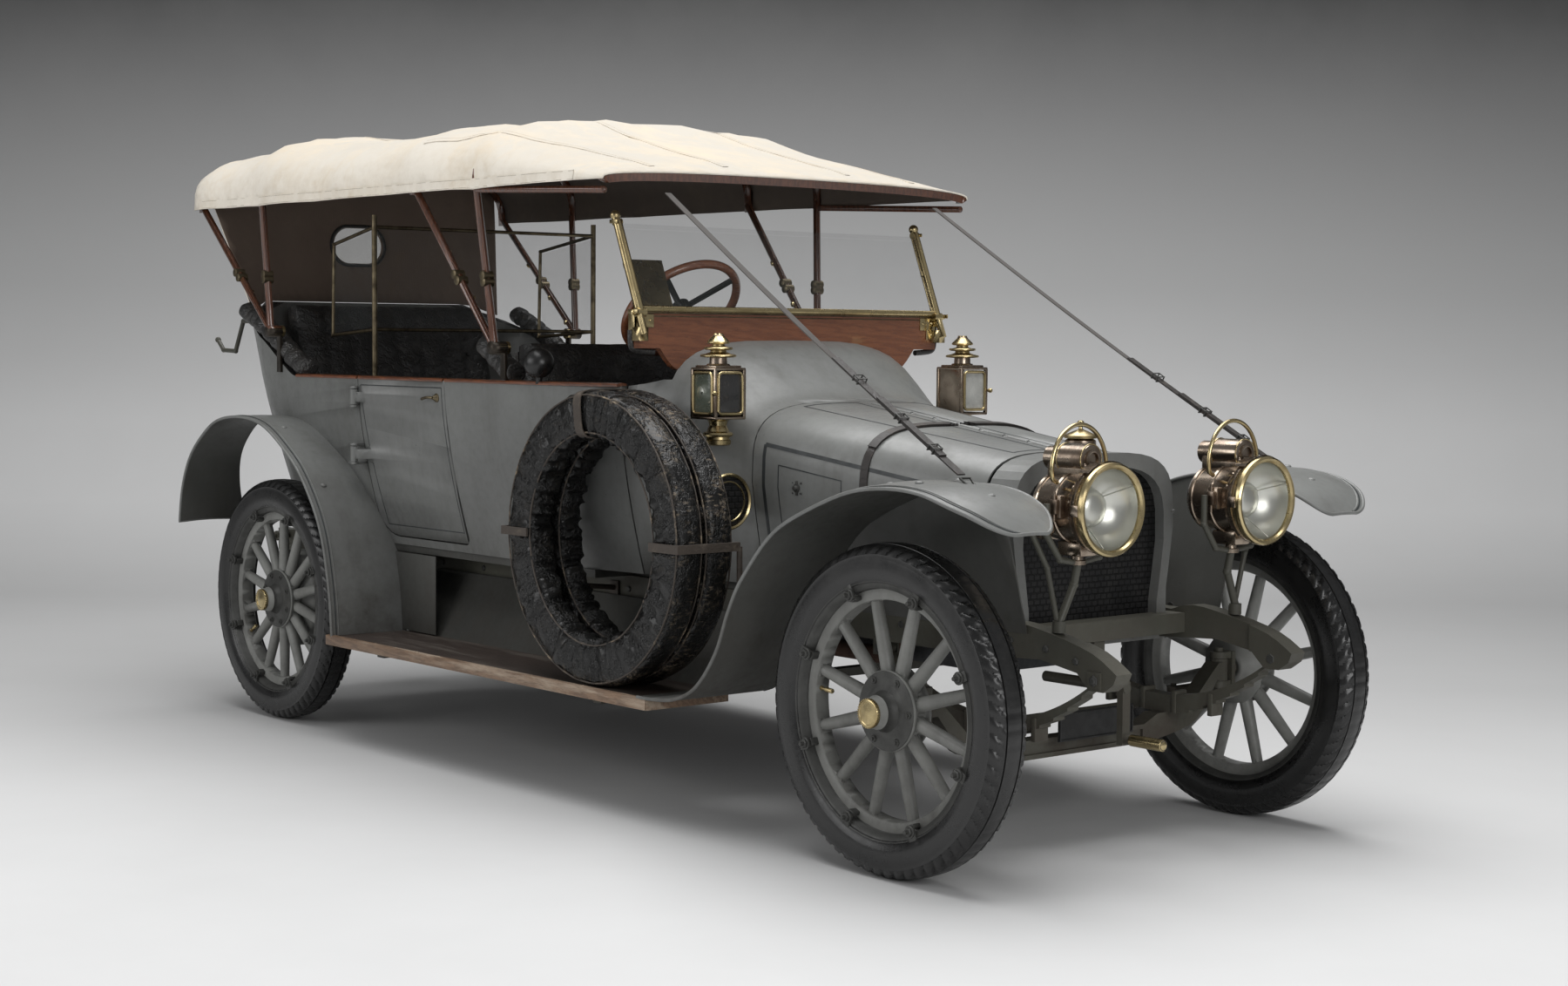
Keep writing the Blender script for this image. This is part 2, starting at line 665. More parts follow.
def build_room():
    """A floor that runs up into a plain wall behind the car, square to the view."""
    grey = lambda v: (v, v, v, 1)
    back, side = Vector((0.7675, -0.6411, 0)), Vector((0.6411, 0.7675, 0))
    bend, foot, wall = 1.6, -4.4, -6
    line = [(d, 0) for d in (9.5, 7, 5, 3, 1, -1, -3, foot)]
    line += [(foot - bend * math.sin(a), bend - bend * math.cos(a))
             for a in (0.26, 0.52, 0.79, 1.05, 1.31, 1.57)]
    line += [(wall, z) for z in (3, 5, 9)]
    room = grid([[back * d + side * s + Vector((0, 0, z)) for s in (-36, -18, -7, 0, 7, 18, 36)]
                 for d, z in line])
    alone(room)
    bpy.ops.object.mode_set(mode="EDIT")
    bpy.ops.mesh.select_all(action="SELECT")
    bpy.ops.mesh.normals_make_consistent(inside=True)
    bpy.ops.object.mode_set(mode="OBJECT")
    bpy.ops.object.shade_smooth()
    room.name = room.data.name = "room"
    f = Finish("room_wash", Roughness=0.8, Specular_IOR_Level=0.15)
    near = f.axis("X") * back.x + f.axis("Y") * back.y
    floor_greys = ((0, grey(0.42)), (0.35, grey(0.45)), (0.6, grey(0.58)), (1, grey(0.72)))
    wall_greys = ((0, grey(0.52)), (0.25, grey(0.50)), (0.55, grey(0.34)), (1, grey(0.058)))
    floor = f.node("ValToRGB", {"stops": floor_greys}, {0: near.span(foot, 4.2)})
    upright = f.node("ValToRGB", {"stops": wall_greys}, {0: f.axis("Z").span(0.0, 3.3)})
    wash = f.blend(f.axis("Z").span(0.0, 0.4), floor, upright)
    spots = f.noise(1.3, 5, 0.6).span(0.35, 0.7)
    f.set(Base_Color=f.blend(spots * 0.07, wash, (0.3, 0.3, 0.29)),
          Alpha=1 - f.node("NewGeometry", {}, {}, "Backfacing"))      # seen through from behind
    room.data.materials.append(f.data)


def lamp(place, target, size, watts):
    """A soft rectangular light at a place, turned to a target."""
    clear()
    bpy.ops.object.light_add(type="AREA", location=place)
    light = bpy.context.object
    light.data.shape, light.data.size, light.data.size_y = "RECTANGLE", size[0], size[1]
    light.data.energy = watts
    way = Vector(target) - Vector(place)
    light.rotation_mode = "QUATERNION"
    light.rotation_quaternion = way.to_track_quat("-Z", "Y")


def light_room():
    world = bpy.data.worlds.new("soft_room")
    bpy.context.scene.world = world
    world.use_nodes = True
    sky = world.node_tree.nodes["Background"].inputs
    sky["Color"].default_value = (0.97, 0.985, 1, 1)
    sky["Strength"].default_value = 0.245
    lamp((0.0, 0.5, 7.2), (-0.1, 0.3, 0), (8.5, 6.5), 760)          # over the car
    lamp((7.6, -1.8, 2.5), (0.9, -0.2, 0.8), (3.4, 2.4), 125)       # before its nose
    lamp((-1.5, -6.0, 2.6), (-0.2, 0, 0.8), (4.5, 2.4), 84)         # at its right side


# ---------- finishes on the frame's own pieces ----------
WHEELS = ("front_right", "front_left", "rear_right", "rear_left")
PLAIN = {
    "chassis_paint": ["chassis_frame", "front_springs", "rear_springs", "front_axle", "rear_axle",
                      "knuckle_right", "knuckle_left", "track_rod", "lamp_brackets",
                      "hood_rests", "starting_crank", "steering_column"],
    "engine_iron": ["engine_block"],
    "exhaust_iron": ["exhaust"],
    "radiator_core": ["radiator_core"],
    "body_paint": ["radiator_shell"],
    "brass": ["filler_cap", "windscreen_frame", "horn"],
    "dull_brass": ["rear_screen_frame"],
    "valance_paint": ["body_floor"],
    "board_wood": ["running_boards"],
    "mahogany": ["hood_frame"],
    "mahogany_flat": ["screen_board"],
    "seat_leather": ["seat_frames", "front_seat", "rear_seat", "leather_rolls"],
    "cover_leather": ["spare_tyres"],
    "strap_leather": ["hood_straps", "spare_carrier"],
    "lamp_metal": ["headlamps", "side_lamps"],
    "lamp_glass": ["headlamp_glasses"],
    "screen_glass": ["windscreen_glass", "rear_screen_glass"],
    "plate_black": ["number_plate", "steering_wheel"],
    "wheel_paint": ["wheel_" + place for place in WHEELS],
    "tyre": ["tyre_" + place for place in WHEELS],
    "canvas": ["hood_canopy"],
    "curtain_cloth": ["rear_curtain"],
}
SKINS = ["bonnet_right", "bonnet_left", "scuttle", "body_tub", "rear_door_right", "rear_door_left",
         "front_door_left"]


def dress_frame():
    for look, names in PLAIN.items():
        for name in names:
            give(NODES[name], look)
    for name in SKINS:
        skin = smooth_copy(name, "body_paint")
        if name == "body_tub":
            second_look(skin, "seat_leather", lambda f: f.normal.z > 0.7 and f.center.z > 1.05)
    smooth_copy("wing_valances", "valance_paint", slot="chassis_paint")


# ---------- hood ----------
def wave(p, size, seed):
    """Smooth noise with waves of that size in metres."""
    return noise.noise(Vector(p) * (1 / size) + Vector((seed, seed * 1.7, -seed)))


BOWS = (-0.64, -0.15, 0.89, 1.25, 1.94)         # where the hood's bows stand along the car


def canopy_pull(p):
    """How far the cloth stands out from its plain shape: sags between bows, pulls at them."""
    x, y, z = p.x + MID, p.y, p.z
    near = min(abs(x - b) for b in BOWS)
    top = limit((z - HOOD_EDGE - 0.05) / 0.15, 0, 1)
    sag = -0.019 * (1 - math.exp(-(near / 0.12) ** 2)) * top
    folds = 0.009 * wave((x * 1.2, y * 3.0, z * 0.7), 0.21, 3) * top
    side = 0.006 * wave((x, y * 0.2, z * 0.5), 0.12, 5) + 0.012 * wave((x, 0, z * 0.3), 0.34, 9)
    edge = -0.006 * (1 - top) * math.exp(-(near / 0.05) ** 2)
    return sag + folds + (1 - top) * side + edge


def hood_canopy():
    """The hood's cloth, canvas outside and dark lining inside, with its seams and hem."""
    cloth = finer(skin_of("hood_canopy"))
    for vertex in cloth.data.vertices:
        out = Vector((0, vertex.co.y * 1.3, (vertex.co.z - 1.55) * 1.2))
        pull = canopy_pull(vertex.co)
        front = limit((1.90 - MID - vertex.co.x) / 0.1, 0, 1)
        vertex.co += out.normalized() * pull * front
    finish(cloth, "hood_canopy_cloth", "canvas", "car_body", sharp=60)
    second_look(cloth, "lining", lambda f: f.normal.dot(
        Vector((0.25 if f.center.x > 0.45 else -0.1, f.center.y * 1.3, f.center.z - 1.5))) < 0)
    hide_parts("hood_canopy")
    tree = faces_of(cloth)
    seams = []
    for y in (-0.235, 0.235):
        seams.append([car(mix(-0.60, 1.9, k / 60), y, 3) for k in range(61)])
    for side in SIDES:
        seams.append([car(mix(0.88, 1.9, k / 40), side * mix(0.62, 0.50, k / 40), 3) for k in range(41)])
    made = [ribbon(lay(tree, seam, (0, 0, -1), 0), 0.020, 0.0002, 0.0014) for seam in seams]
    hem = []
    for side in SIDES:
        along = [mix(-0.60, 1.80, k / 90) for k in range(91)]
        hem.append(lay(tree, [car(x, side * 1.2, HOOD_EDGE + 0.022 - 0.012 * x / 3.1) for x in along],
                       (0, -side, 0), 0))
    made += [ribbon(line, 0.030, 0.0002, 0.0016) for line in hem]
    welt = finish(join(made), "hood_seams", "canvas", "car_body", sharp=50)
    stitches = []
    for line, half in [(lay(tree, s, (0, 0, -1), 0), 0.008) for s in seams] + [(h, 0.012) for h in hem]:
        for sign in (-1, 1):
            path = []
            for i, (at, normal) in enumerate(line):
                along = line[min(i + 1, len(line) - 1)][0] - line[max(i - 1, 0)][0]
                path.append((at + along.cross(normal).normalized() * half * sign + normal * 0.0014, normal))
            stitches.append(ribbon(path, 0.0012, 0, 0.0004))
    thread = finish(join(stitches), "hood_stitching", "thread", "car_body", "canvas")


def hood_curtain():
    """The cloth at the hood's back, with its small oval window."""
    cloth = finer(skin_of("rear_curtain"))
    for vertex in cloth.data.vertices:
        p = vertex.co
        away = limit(((p.y ** 2 + ((p.z - 1.65) * 1.1) ** 2) ** 0.5 - 0.13) / 0.15, 0, 1)
        p.x += (0.010 * wave((p.y, 0, p.z * 0.25), 0.16, 2) + 0.006 * wave((p.y, 0, p.z), 0.3, 4)) * away
    finish(cloth, "rear_curtain_cloth", "curtain_cloth", "car_body", sharp=60)
    second_look(cloth, "canvas", lambda f: f.normal.x < -0.3 or f.normal.y * f.center.y > 0.2)
    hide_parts("rear_curtain")
    oval = [(0.066 * math.cos(a) + (0.036 if math.cos(a) >= 0 else -0.036), 0.066 * math.sin(a))
            for a in [math.tau * k / 48 for k in range(48)]]
    tree = faces_of(cloth)
    found = lay(tree, [Vector((0, y * 1.12, 1.65 + z * 1.12)) for y, z in oval], (-1, 0, 0), 0)
    proud = Vector((0.002, 0, 0))
    inner_rim = wire([at + proud for at, _ in found], 0.006, True)
    outer = lay(tree, [Vector((-3, y * 1.12, 1.65 + z * 1.12)) for y, z in oval], (1, 0, 0), 0)
    outer_rim = wire([at - proud for at, _ in outer], 0.006, True)
    finish(join([inner_rim, outer_rim]), "window_binding", "seat_leather", "car_body")
    mid = sum((at for at, _ in found), Vector()) / len(found)
    pane = turned([(-0.0006, 0.03), (-0.0006, 0.074), (0.0006, 0.074), (0.0006, 0.03)], mid - proud,
                  (1, 0, 0), 48)
    for vertex in pane.data.vertices:
        vertex.co.y += 0.036 * (1 if vertex.co.y > 0 else -1) * min(1, abs(vertex.co.y) / 0.012)
    finish(pane, "window_pane", "celluloid", "car_body", "curtain_cloth")


# ---------- wheels ----------
# half of a tyre's section in millimetres, (off the middle, off the axle), from the bead to the tread
TYRE_SHAPE = [(42, 309), (49, 316), (54.5, 327), (56.5, 335), (57.2, 337), (57.6, 350), (57.8, 362),
              (57.2, 372), (56.2, 380), (57.0, 383), (54.6, 389), (50.5, 396), (45, 401.5), (38, 405),
              (31, 407), (27, 407.6), (25.5, 403.4), (23.5, 403.4), (22, 408), (11, 409.3)]


def tyre():
    """One tyre round the Y axis at the origin, with a saw-toothed shoulder tread."""
    section = TYRE_SHAPE + [(0, 409.6)] + [(-y, r) for y, r in TYRE_SHAPE[::-1]]
    teeth, per = 66, 6
    rows = []
    for k in range(teeth * per + 1):
        a = math.tau * k / (teeth * per)
        row = []
        for y, r in section:
            side = abs(y)
            if 29 < side < 56 and r > 388:
                phase = (k / per + (side - 28) / 26 * (0.9 if y > 0 else -0.9)) % 1
                r -= 5.5 * (1 if phase < 0.34 else 0) * limit((side - 28) / 5, 0, 1)
            elif side < 12:
                phase = (k / per) % 1
                r -= 2.4 if phase < 0.2 and side > 5 else 0
            row.append(Vector((math.cos(a) * r, y, math.sin(a) * r)) / 1000)
        rows.append(row)
    return mend(grid(rows))


def hexagon(centre, toward, r, high):
    return turned([(0, r), (high * 0.8, r), (high, r * 0.82)], centre, toward, 6)


def around(piece, count, start=0.0):
    """The piece repeated round the Y axis."""
    made = [piece]
    for k in range(1, count):
        made.append(copy(piece, Matrix.Rotation(math.tau * k / count, 4, "Y")))
    turned_all = join(made)
    turned_all.data.transform(Matrix.Rotation(start, 4, "Y"))
    return turned_all


def wheel_irons(bolts):
    """Rim clamps and hub bolts for a wheel round the Y axis whose outer side is -Y."""
    plate = slab((-0.013, -0.052, 0.286), (0.013, -0.045, 0.322), 0.002)
    foot = slab((-0.010, -0.046, 0.280), (0.010, -0.021, 0.292), 0.003)
    nut = hexagon((0, -0.050, 0.297), (0, -1, 0), 0.0125, 0.013)
    stud = rod((0, -0.060, 0.297), (0, -0.071, 0.297), 0.006, 0.005, 12)
    washer = turned([(0, 0.016), (0.003, 0.016), (0.004, 0.0145)], (0, -0.0515, 0.297), (0, -1, 0), 20)
    clamps = around(join([plate, foot, nut, stud, washer]), 8, math.pi / 8)
    head = hexagon((0, -0.027, 0.083), (0, -1, 0), 0.0095, 0.009)
    end = rod((0, -0.034, 0.083), (0, -0.040, 0.083), 0.0045, 0.004, 10)
    ring = around(join([head, end]), bolts, math.pi / bolts)
    disc = turned([(0.0, 0.060), (0.003, 0.098), (0.0045, 0.097), (0.0055, 0.094), (0.0055, 0.070),
                   (0.0075, 0.066), (0.010, 0.052), (0.018, 0.046), (0.030, 0.0425), (0.034, 0.0425),
                   (0.035, 0.030)],
                  (0, -0.0265, 0), (0, -1, 0), 48)
    bead = turned_ring(0.318, -0.0465, 0.0035)
    inner = turned_ring(0.2995, -0.024, 0.0022)
    return join([clamps, ring, disc, bead, inner])


def turned_ring(r, y, thick, sides=64):
    """A round bar bent to a ring round the Y axis."""
    clear()
    bpy.ops.mesh.primitive_torus_add(major_radius=r, minor_radius=thick, major_segments=sides,
                                     minor_segments=8, location=(0, y, 0), rotation=(math.pi / 2, 0, 0))
    return freeze(bpy.context.object)


def hub_cap():
    cap = turned([(-0.004, 0.024), (-0.004, 0.0315), (0.0, 0.0345), (0.003, 0.0345), (0.0045, 0.032),
                  (0.017, 0.0315), (0.019, 0.0355), (0.026, 0.0355), (0.0285, 0.034), (0.0295, 0.0315),
                  (0.0295, 0.0285), (0.028, 0.0275), (0.0285, 0.020), (0.0305, 0.010), (0.031, 0.003)],
                 (0, -0.062, 0), (0, -1, 0), 48)
    knurl = slab((-0.0015, -0.0915, 0.0335), (0.0015, -0.081, 0.0365), 0.0006)
    return join([cap, around(knurl, 36)])


def valve():
    return turned([(0, 0.006), (0.006, 0.006), (0.0065, 0.0042), (0.020, 0.0042), (0.0205, 0.0065),
                   (0.044, 0.0062), (0.046, 0.005), (0.0465, 0.002)], (0, -0.006, -0.271), (0, 0, 1), 20)


def wheels():
    """Tread, irons, hub cap and valve on each of the four wheels."""
    rubber_ring, irons = tyre(), {6: wheel_irons(6), 8: wheel_irons(8)}
    cap, stem = hub_cap(), valve()
    painted = 0.298         # radius of a wheel's painted part: outside it is the bare rim
    for name, x, side, bolts, valve_turn in zip(WHEELS, (FRONT, FRONT, 0, 0), (-1, 1, -1, 1), (6, 6, 8, 8),
                                                (95, 130, 60, 130)):
        move = Matrix.Translation(car(x, side * TRACK / 2, AXLE))
        if side > 0:
            move = move @ MIRROR
        spin = Matrix.Rotation(math.radians(valve_turn), 4, "Y")
        body = "wheel_" + name + "_body"
        made = finish(copy(rubber_ring, move), "tyre_" + name + "_tread", "tyre", body, sharp=30)
        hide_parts("tyre_" + name)
        finish(copy(irons[bolts], move), "wheel_" + name + "_irons", "wheel_iron", body, "wheel_paint")
        skin = smooth_copy("wheel_" + name, "wheel_paint")
        second_look(skin, "wheel_iron",
                    lambda f: (f.center.x - x + MID) ** 2 + (f.center.z - AXLE) ** 2 > painted ** 2)
        finish(copy(cap, move), "hub_cap_" + name, "brass", body)
        finish(copy(stem, move @ spin), "valve_" + name, "brass", body)
    for piece in (rubber_ring, cap, stem, *irons.values()):
        bpy.data.objects.remove(piece)


# ---------- spare tyres ----------
COVER_R = 0.348         # from the middle of the spare tyres to the middle of a cover's section
COVERS = (-0.708, -0.607)       # the outer and the inner cover


def box_curve(a, half, high, blunt_y, blunt_r):
    """A point at the angle a of a rounded box in a tyre's section; the smaller blunt, the squarer."""
    c, d = math.cos(a), math.sin(a)
    return half * math.copysign(abs(c) ** blunt_y, c), COVER_R + high * math.copysign(abs(d) ** blunt_r, d)


def cover(y_mid, seed):
    """A creased leathercloth cover over one spare tyre."""
    rows, n, m = [], 300, 44
    for k in range(n + 1):
        a = math.tau * (k % n) / n
        row = []
        for j in range(m + 1):
            s = (j % m) / m
            y, r = box_curve(math.tau * s, 0.049, 0.064, 0.55, 0.62)
            spot = Vector((math.cos(a) * 3.2, math.sin(a) * 3.2, s * 1.6))
            fold = 1 - abs(noise.noise(Vector((math.cos(a) * 7.5, math.sin(a) * 7.5, s * 2.2 + seed)))) * 2
            fine = noise.noise(Vector((math.cos(a) * 22, math.sin(a) * 22, s * 5 - seed)))
            side = 1 - limit((r - 0.394) / 0.012, 0, 1) * 0.75
            push = (-0.0125 * (1 - max(0, fold) ** 2) + 0.0028 * fine + 0.004) * side
            push += 0.003 * noise.noise(spot + Vector((seed, 0, 0)))
            slack = 0.005 * limit((0.30 - r) / 0.01, 0, 1) * math.sin(a * 40 + 6 * noise.noise(spot))
            out = Vector((0, y, (r - COVER_R)))
            out = out.normalized() * (out.length + push)
            row.append(car(SPARE_X + math.cos(a) * (COVER_R + out.z + slack), y_mid + out.y,
                           SPARE_Z + math.sin(a) * (COVER_R + out.z + slack)))
        rows.append(row)
    return mend(grid(rows), 0.00005)


def loop_round_spares(angle, width):
    """A strap round the section of both covers, at one angle of their ring."""
    path = [box_curve(math.tau * k / 56, 0.1025, 0.067, 0.32, 0.45) for k in range(56)]
    rows = []
    for y, r in path + path[:1]:
        rows.append([car(SPARE_X + math.cos(angle) * r - math.sin(angle) * w, sum(COVERS) / 2 + y,
                         SPARE_Z + math.sin(angle) * r + math.cos(angle) * w)
                     for w in (-width / 2, 0, width / 2)])
    return thicken(grid(rows), 0.003, 0)


def spare_tyres():
    outer, inner = cover(COVERS[0], 1.5), cover(COVERS[1], 8.2)
    finish(outer, "spare_cover_outer", "cover_leather", "car_body", sharp=70)
    finish(inner, "spare_cover_inner", "cover_leather", "car_body", sharp=70)
    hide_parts("spare_tyres")
    welts = []
    for y_mid, seed in zip(COVERS, (1, 2)):
        for y, r in ((-0.0415, 0.4000), (0.0415, 0.4000), (-0.0400, 0.2955)):
            ring = []
            for k in range(150):
                a = math.tau * k / 150
                jog = 0.0015 * noise.noise(Vector((math.cos(a) * 9, math.sin(a) * 9, seed + y)))
                ring.append(car(SPARE_X + math.cos(a) * (r + jog), y_mid + y,
                                SPARE_Z + math.sin(a) * (r + jog)))
            welts.append(wire(ring, 0.0026, True, 2))
    finish(join(welts), "spare_cover_welts", "worn_edge", "car_body", "cover_leather")
    finish(loop_round_spares(math.radians(97), 0.034), "spare_straps", "strap_leather", "car_body", sharp=50)


# ---------- lamps ----------
def revolved(profile, centre, toward=(1, 0, 0), sides=48, closed=False):
    """A profile of (along, radius) swept right round; a closed profile makes a ring."""
    turn = Vector((0, 0, 1)).rotation_difference(Vector(toward).normalized())
    rows = []
    for k in range(sides + 1):
        a = math.tau * k / sides
        points = profile + profile[:1] if closed else profile
        rows.append([turn @ Vector((math.cos(a) * r, math.sin(a) * r, z)) + Vector(centre)
                     for z, r in points])
    return mend(grid(rows), 0.00001)


LAMP_X, LAMP_Y, LAMP_Z = FRONT + 0.367, 0.289, 0.906        # middle of the left headlamp's rim


def rivet(at, toward, r=0.004):
    return turned([(0, r), (r * 0.35, r * 0.9), (r * 0.6, r * 0.5)], at, toward, 10)


def headlamps():
    """The right headlamp, built round the middle of its rim, and its mirror image."""
    at = lambda x, dy=0.0, dz=0.0: car(LAMP_X + x, dy - LAMP_Y, LAMP_Z + dz)
    drum = turned([(-0.212, 0.030), (-0.210, 0.052), (-0.200, 0.070), (-0.186, 0.079), (-0.184, 0.083),
                   (-0.176, 0.083), (-0.174, 0.080), (-0.120, 0.086), (-0.118, 0.0895), (-0.110, 0.0895),
                   (-0.108, 0.0865), (-0.062, 0.090), (-0.050, 0.097), (-0.040, 0.105), (-0.036, 0.108),
                   (-0.024, 0.109), (-0.022, 0.104), (-0.030, 0.099), (-0.060, 0.078), (-0.082, 0.052)],
                  at(0), (1, 0, 0), 64)
    chimney = turned([(-0.205, 0.010), (-0.205, 0.026), (-0.203, 0.029), (-0.172, 0.029), (-0.170, 0.033),
                      (-0.150, 0.0335), (-0.148, 0.037), (-0.070, 0.037), (-0.067, 0.0345), (-0.066, 0.024)],
                     at(0, 0, 0.118), (1, 0, 0), 40)
    mouth = revolved([(-0.068, 0.024), (-0.061, 0.024), (-0.060, 0.0205), (-0.061, 0.0175), (-0.070, 0.0175)],
                     at(0, 0, 0.118), (1, 0, 0), 32)
    saddle = round_edges(slab(at(-0.190, -0.030, 0.070), at(-0.062, 0.030, 0.112), 0), 0.008, 3)
    hood = revolved([(-0.050, 0.1095), (-0.010, 0.1165), (-0.008, 0.1175), (-0.050, 0.1115)], at(0),
                    (1, 0, 0), 64, True)
    cut_below(hood, at(0, 0, 0.090))
    side = []
    for s in SIDES:
        side += [slab(at(-0.105, s * 0.092 - 0.010, -0.022), at(-0.072, s * 0.092 + 0.010, 0.034), 0.003),
                 slab(at(-0.100, s * 0.106 - 0.006, -0.012), at(-0.077, s * 0.106 + 0.006, 0.024), 0.003),
                 rod(at(-0.089, s * 0.106, -0.030), at(-0.089, s * 0.106, 0.042), 0.004),
                 slab(at(-0.028, s * 0.110 - 0.006, -0.014), at(-0.004, s * 0.110 + 0.006, 0.014), 0.002)]
    for angle in range(0, 360, 24):
        c, d = math.cos(math.radians(angle)), math.sin(math.radians(angle))
        side.append(rivet(at(-0.056, c * 0.0935, d * 0.0935), (0, c, d), 0.0032))
    knob = turned([(0, 0.020), (0.004, 0.026), (0.026, 0.026), (0.028, 0.023), (0.030, 0.014), (0.044, 0.013),
                   (0.046, 0.009)], at(-0.135, -0.080, -0.044), (0, -1, -0.25), 32)
    tap = rod(at(-0.135, -0.104, -0.046), at(-0.135, -0.106, -0.012), 0.003)
    burner = slab(at(-0.150, -0.030, -0.118), at(-0.070, 0.030, -0.082), 0.006)
    foot = turned([(0, 0.022), (0.010, 0.022), (0.012, 0.016), (0.024, 0.015)], at(-0.110, 0, -0.140),
                  (0, 0, 1), 24)
    body = join([drum, chimney, mouth, saddle, hood, *side, knob, burner, foot])
    rim = revolved([(-0.022, 0.100), (-0.022, 0.108), (-0.014, 0.1105), (-0.010, 0.1135), (-0.002, 0.1145),
                    (0.005, 0.1130), (0.009, 0.1085), (0.008, 0.1025), (0.003, 0.0985), (-0.004, 0.0985)],
                   at(0), (1, 0, 0), 96, True)
    arch = [at(-0.108, math.cos(math.radians(a)) * 0.096, 0.096 + math.sin(math.radians(a)) * 0.106)
            for a in range(-8, 189, 7)]
    handle = wire([at(-0.108, 0.076, 0.062), at(-0.108, 0.092, 0.070), *arch, at(-0.108, -0.092, 0.070),
                   at(-0.108, -0.076, 0.062)], 0.0055)
    ring = turned_ring(0.0375, 0, 0.0016, 40)
    ring.data.transform(Matrix.Rotation(math.pi / 2, 4, "Z"))
    ring.data.transform(Matrix.Translation(at(-0.150, 0, 0.118)))
    front_ring = copy(ring, Matrix.Translation((0.080, 0, 0)))
    brasswork = join([rim, handle, ring, front_ring, tap])
    bowl = revolved([(-0.003, 0.099), (-0.022, 0.096), (-0.042, 0.086), (-0.060, 0.070), (-0.072, 0.050),
                     (-0.074, 0.044)], at(0), (1, 0, 0), 64)
    eye = turned([(-0.080, 0.046), (-0.064, 0.046), (-0.056, 0.042), (-0.050, 0.034), (-0.046, 0.022),
                  (-0.0445, 0.008)], at(0), (1, 0, 0), 40)
    ribs = [rod(at(-0.070, 0.046 * c, 0.046 * d), at(-0.006, 0.096 * c, 0.096 * d), 0.0016, 0.0016, 6)
            for c, d in [(math.cos(a), math.sin(a)) for a in (0.6, 2.7, 4.5)]]
    inside = join([bowl, eye, *ribs])
    skin = finish(both(body), "headlamp_bodies", "lamp_metal", "car_body")
    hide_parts("headlamps")
    finish(both(brasswork), "headlamp_brass", "brass", "car_body")
    finish(both(inside), "headlamp_reflectors", "silver", "car_body", "lamp_metal", sharp=60)


def pane_frame(face, lift):
    """A rounded frame round a side lamp's pane, on its "x" or "y" face, that far from the lamp's axis."""
    corner, half, foot, head = 0.012, 0.030, 1.115, 1.204
    path = []
    for a, b, start in ((half, head, 0), (-half, head, 90), (-half, foot, 180), (half, foot, 270)):
        for k in range(5):
            t = math.radians(start + 22.5 * k)
            path.append((a + corner * math.cos(t), b + corner * math.sin(t)))
    return wire([Vector((lift, a, b) if face == "x" else (a, lift, b)) for a, b in path], 0.0042, True, 3)


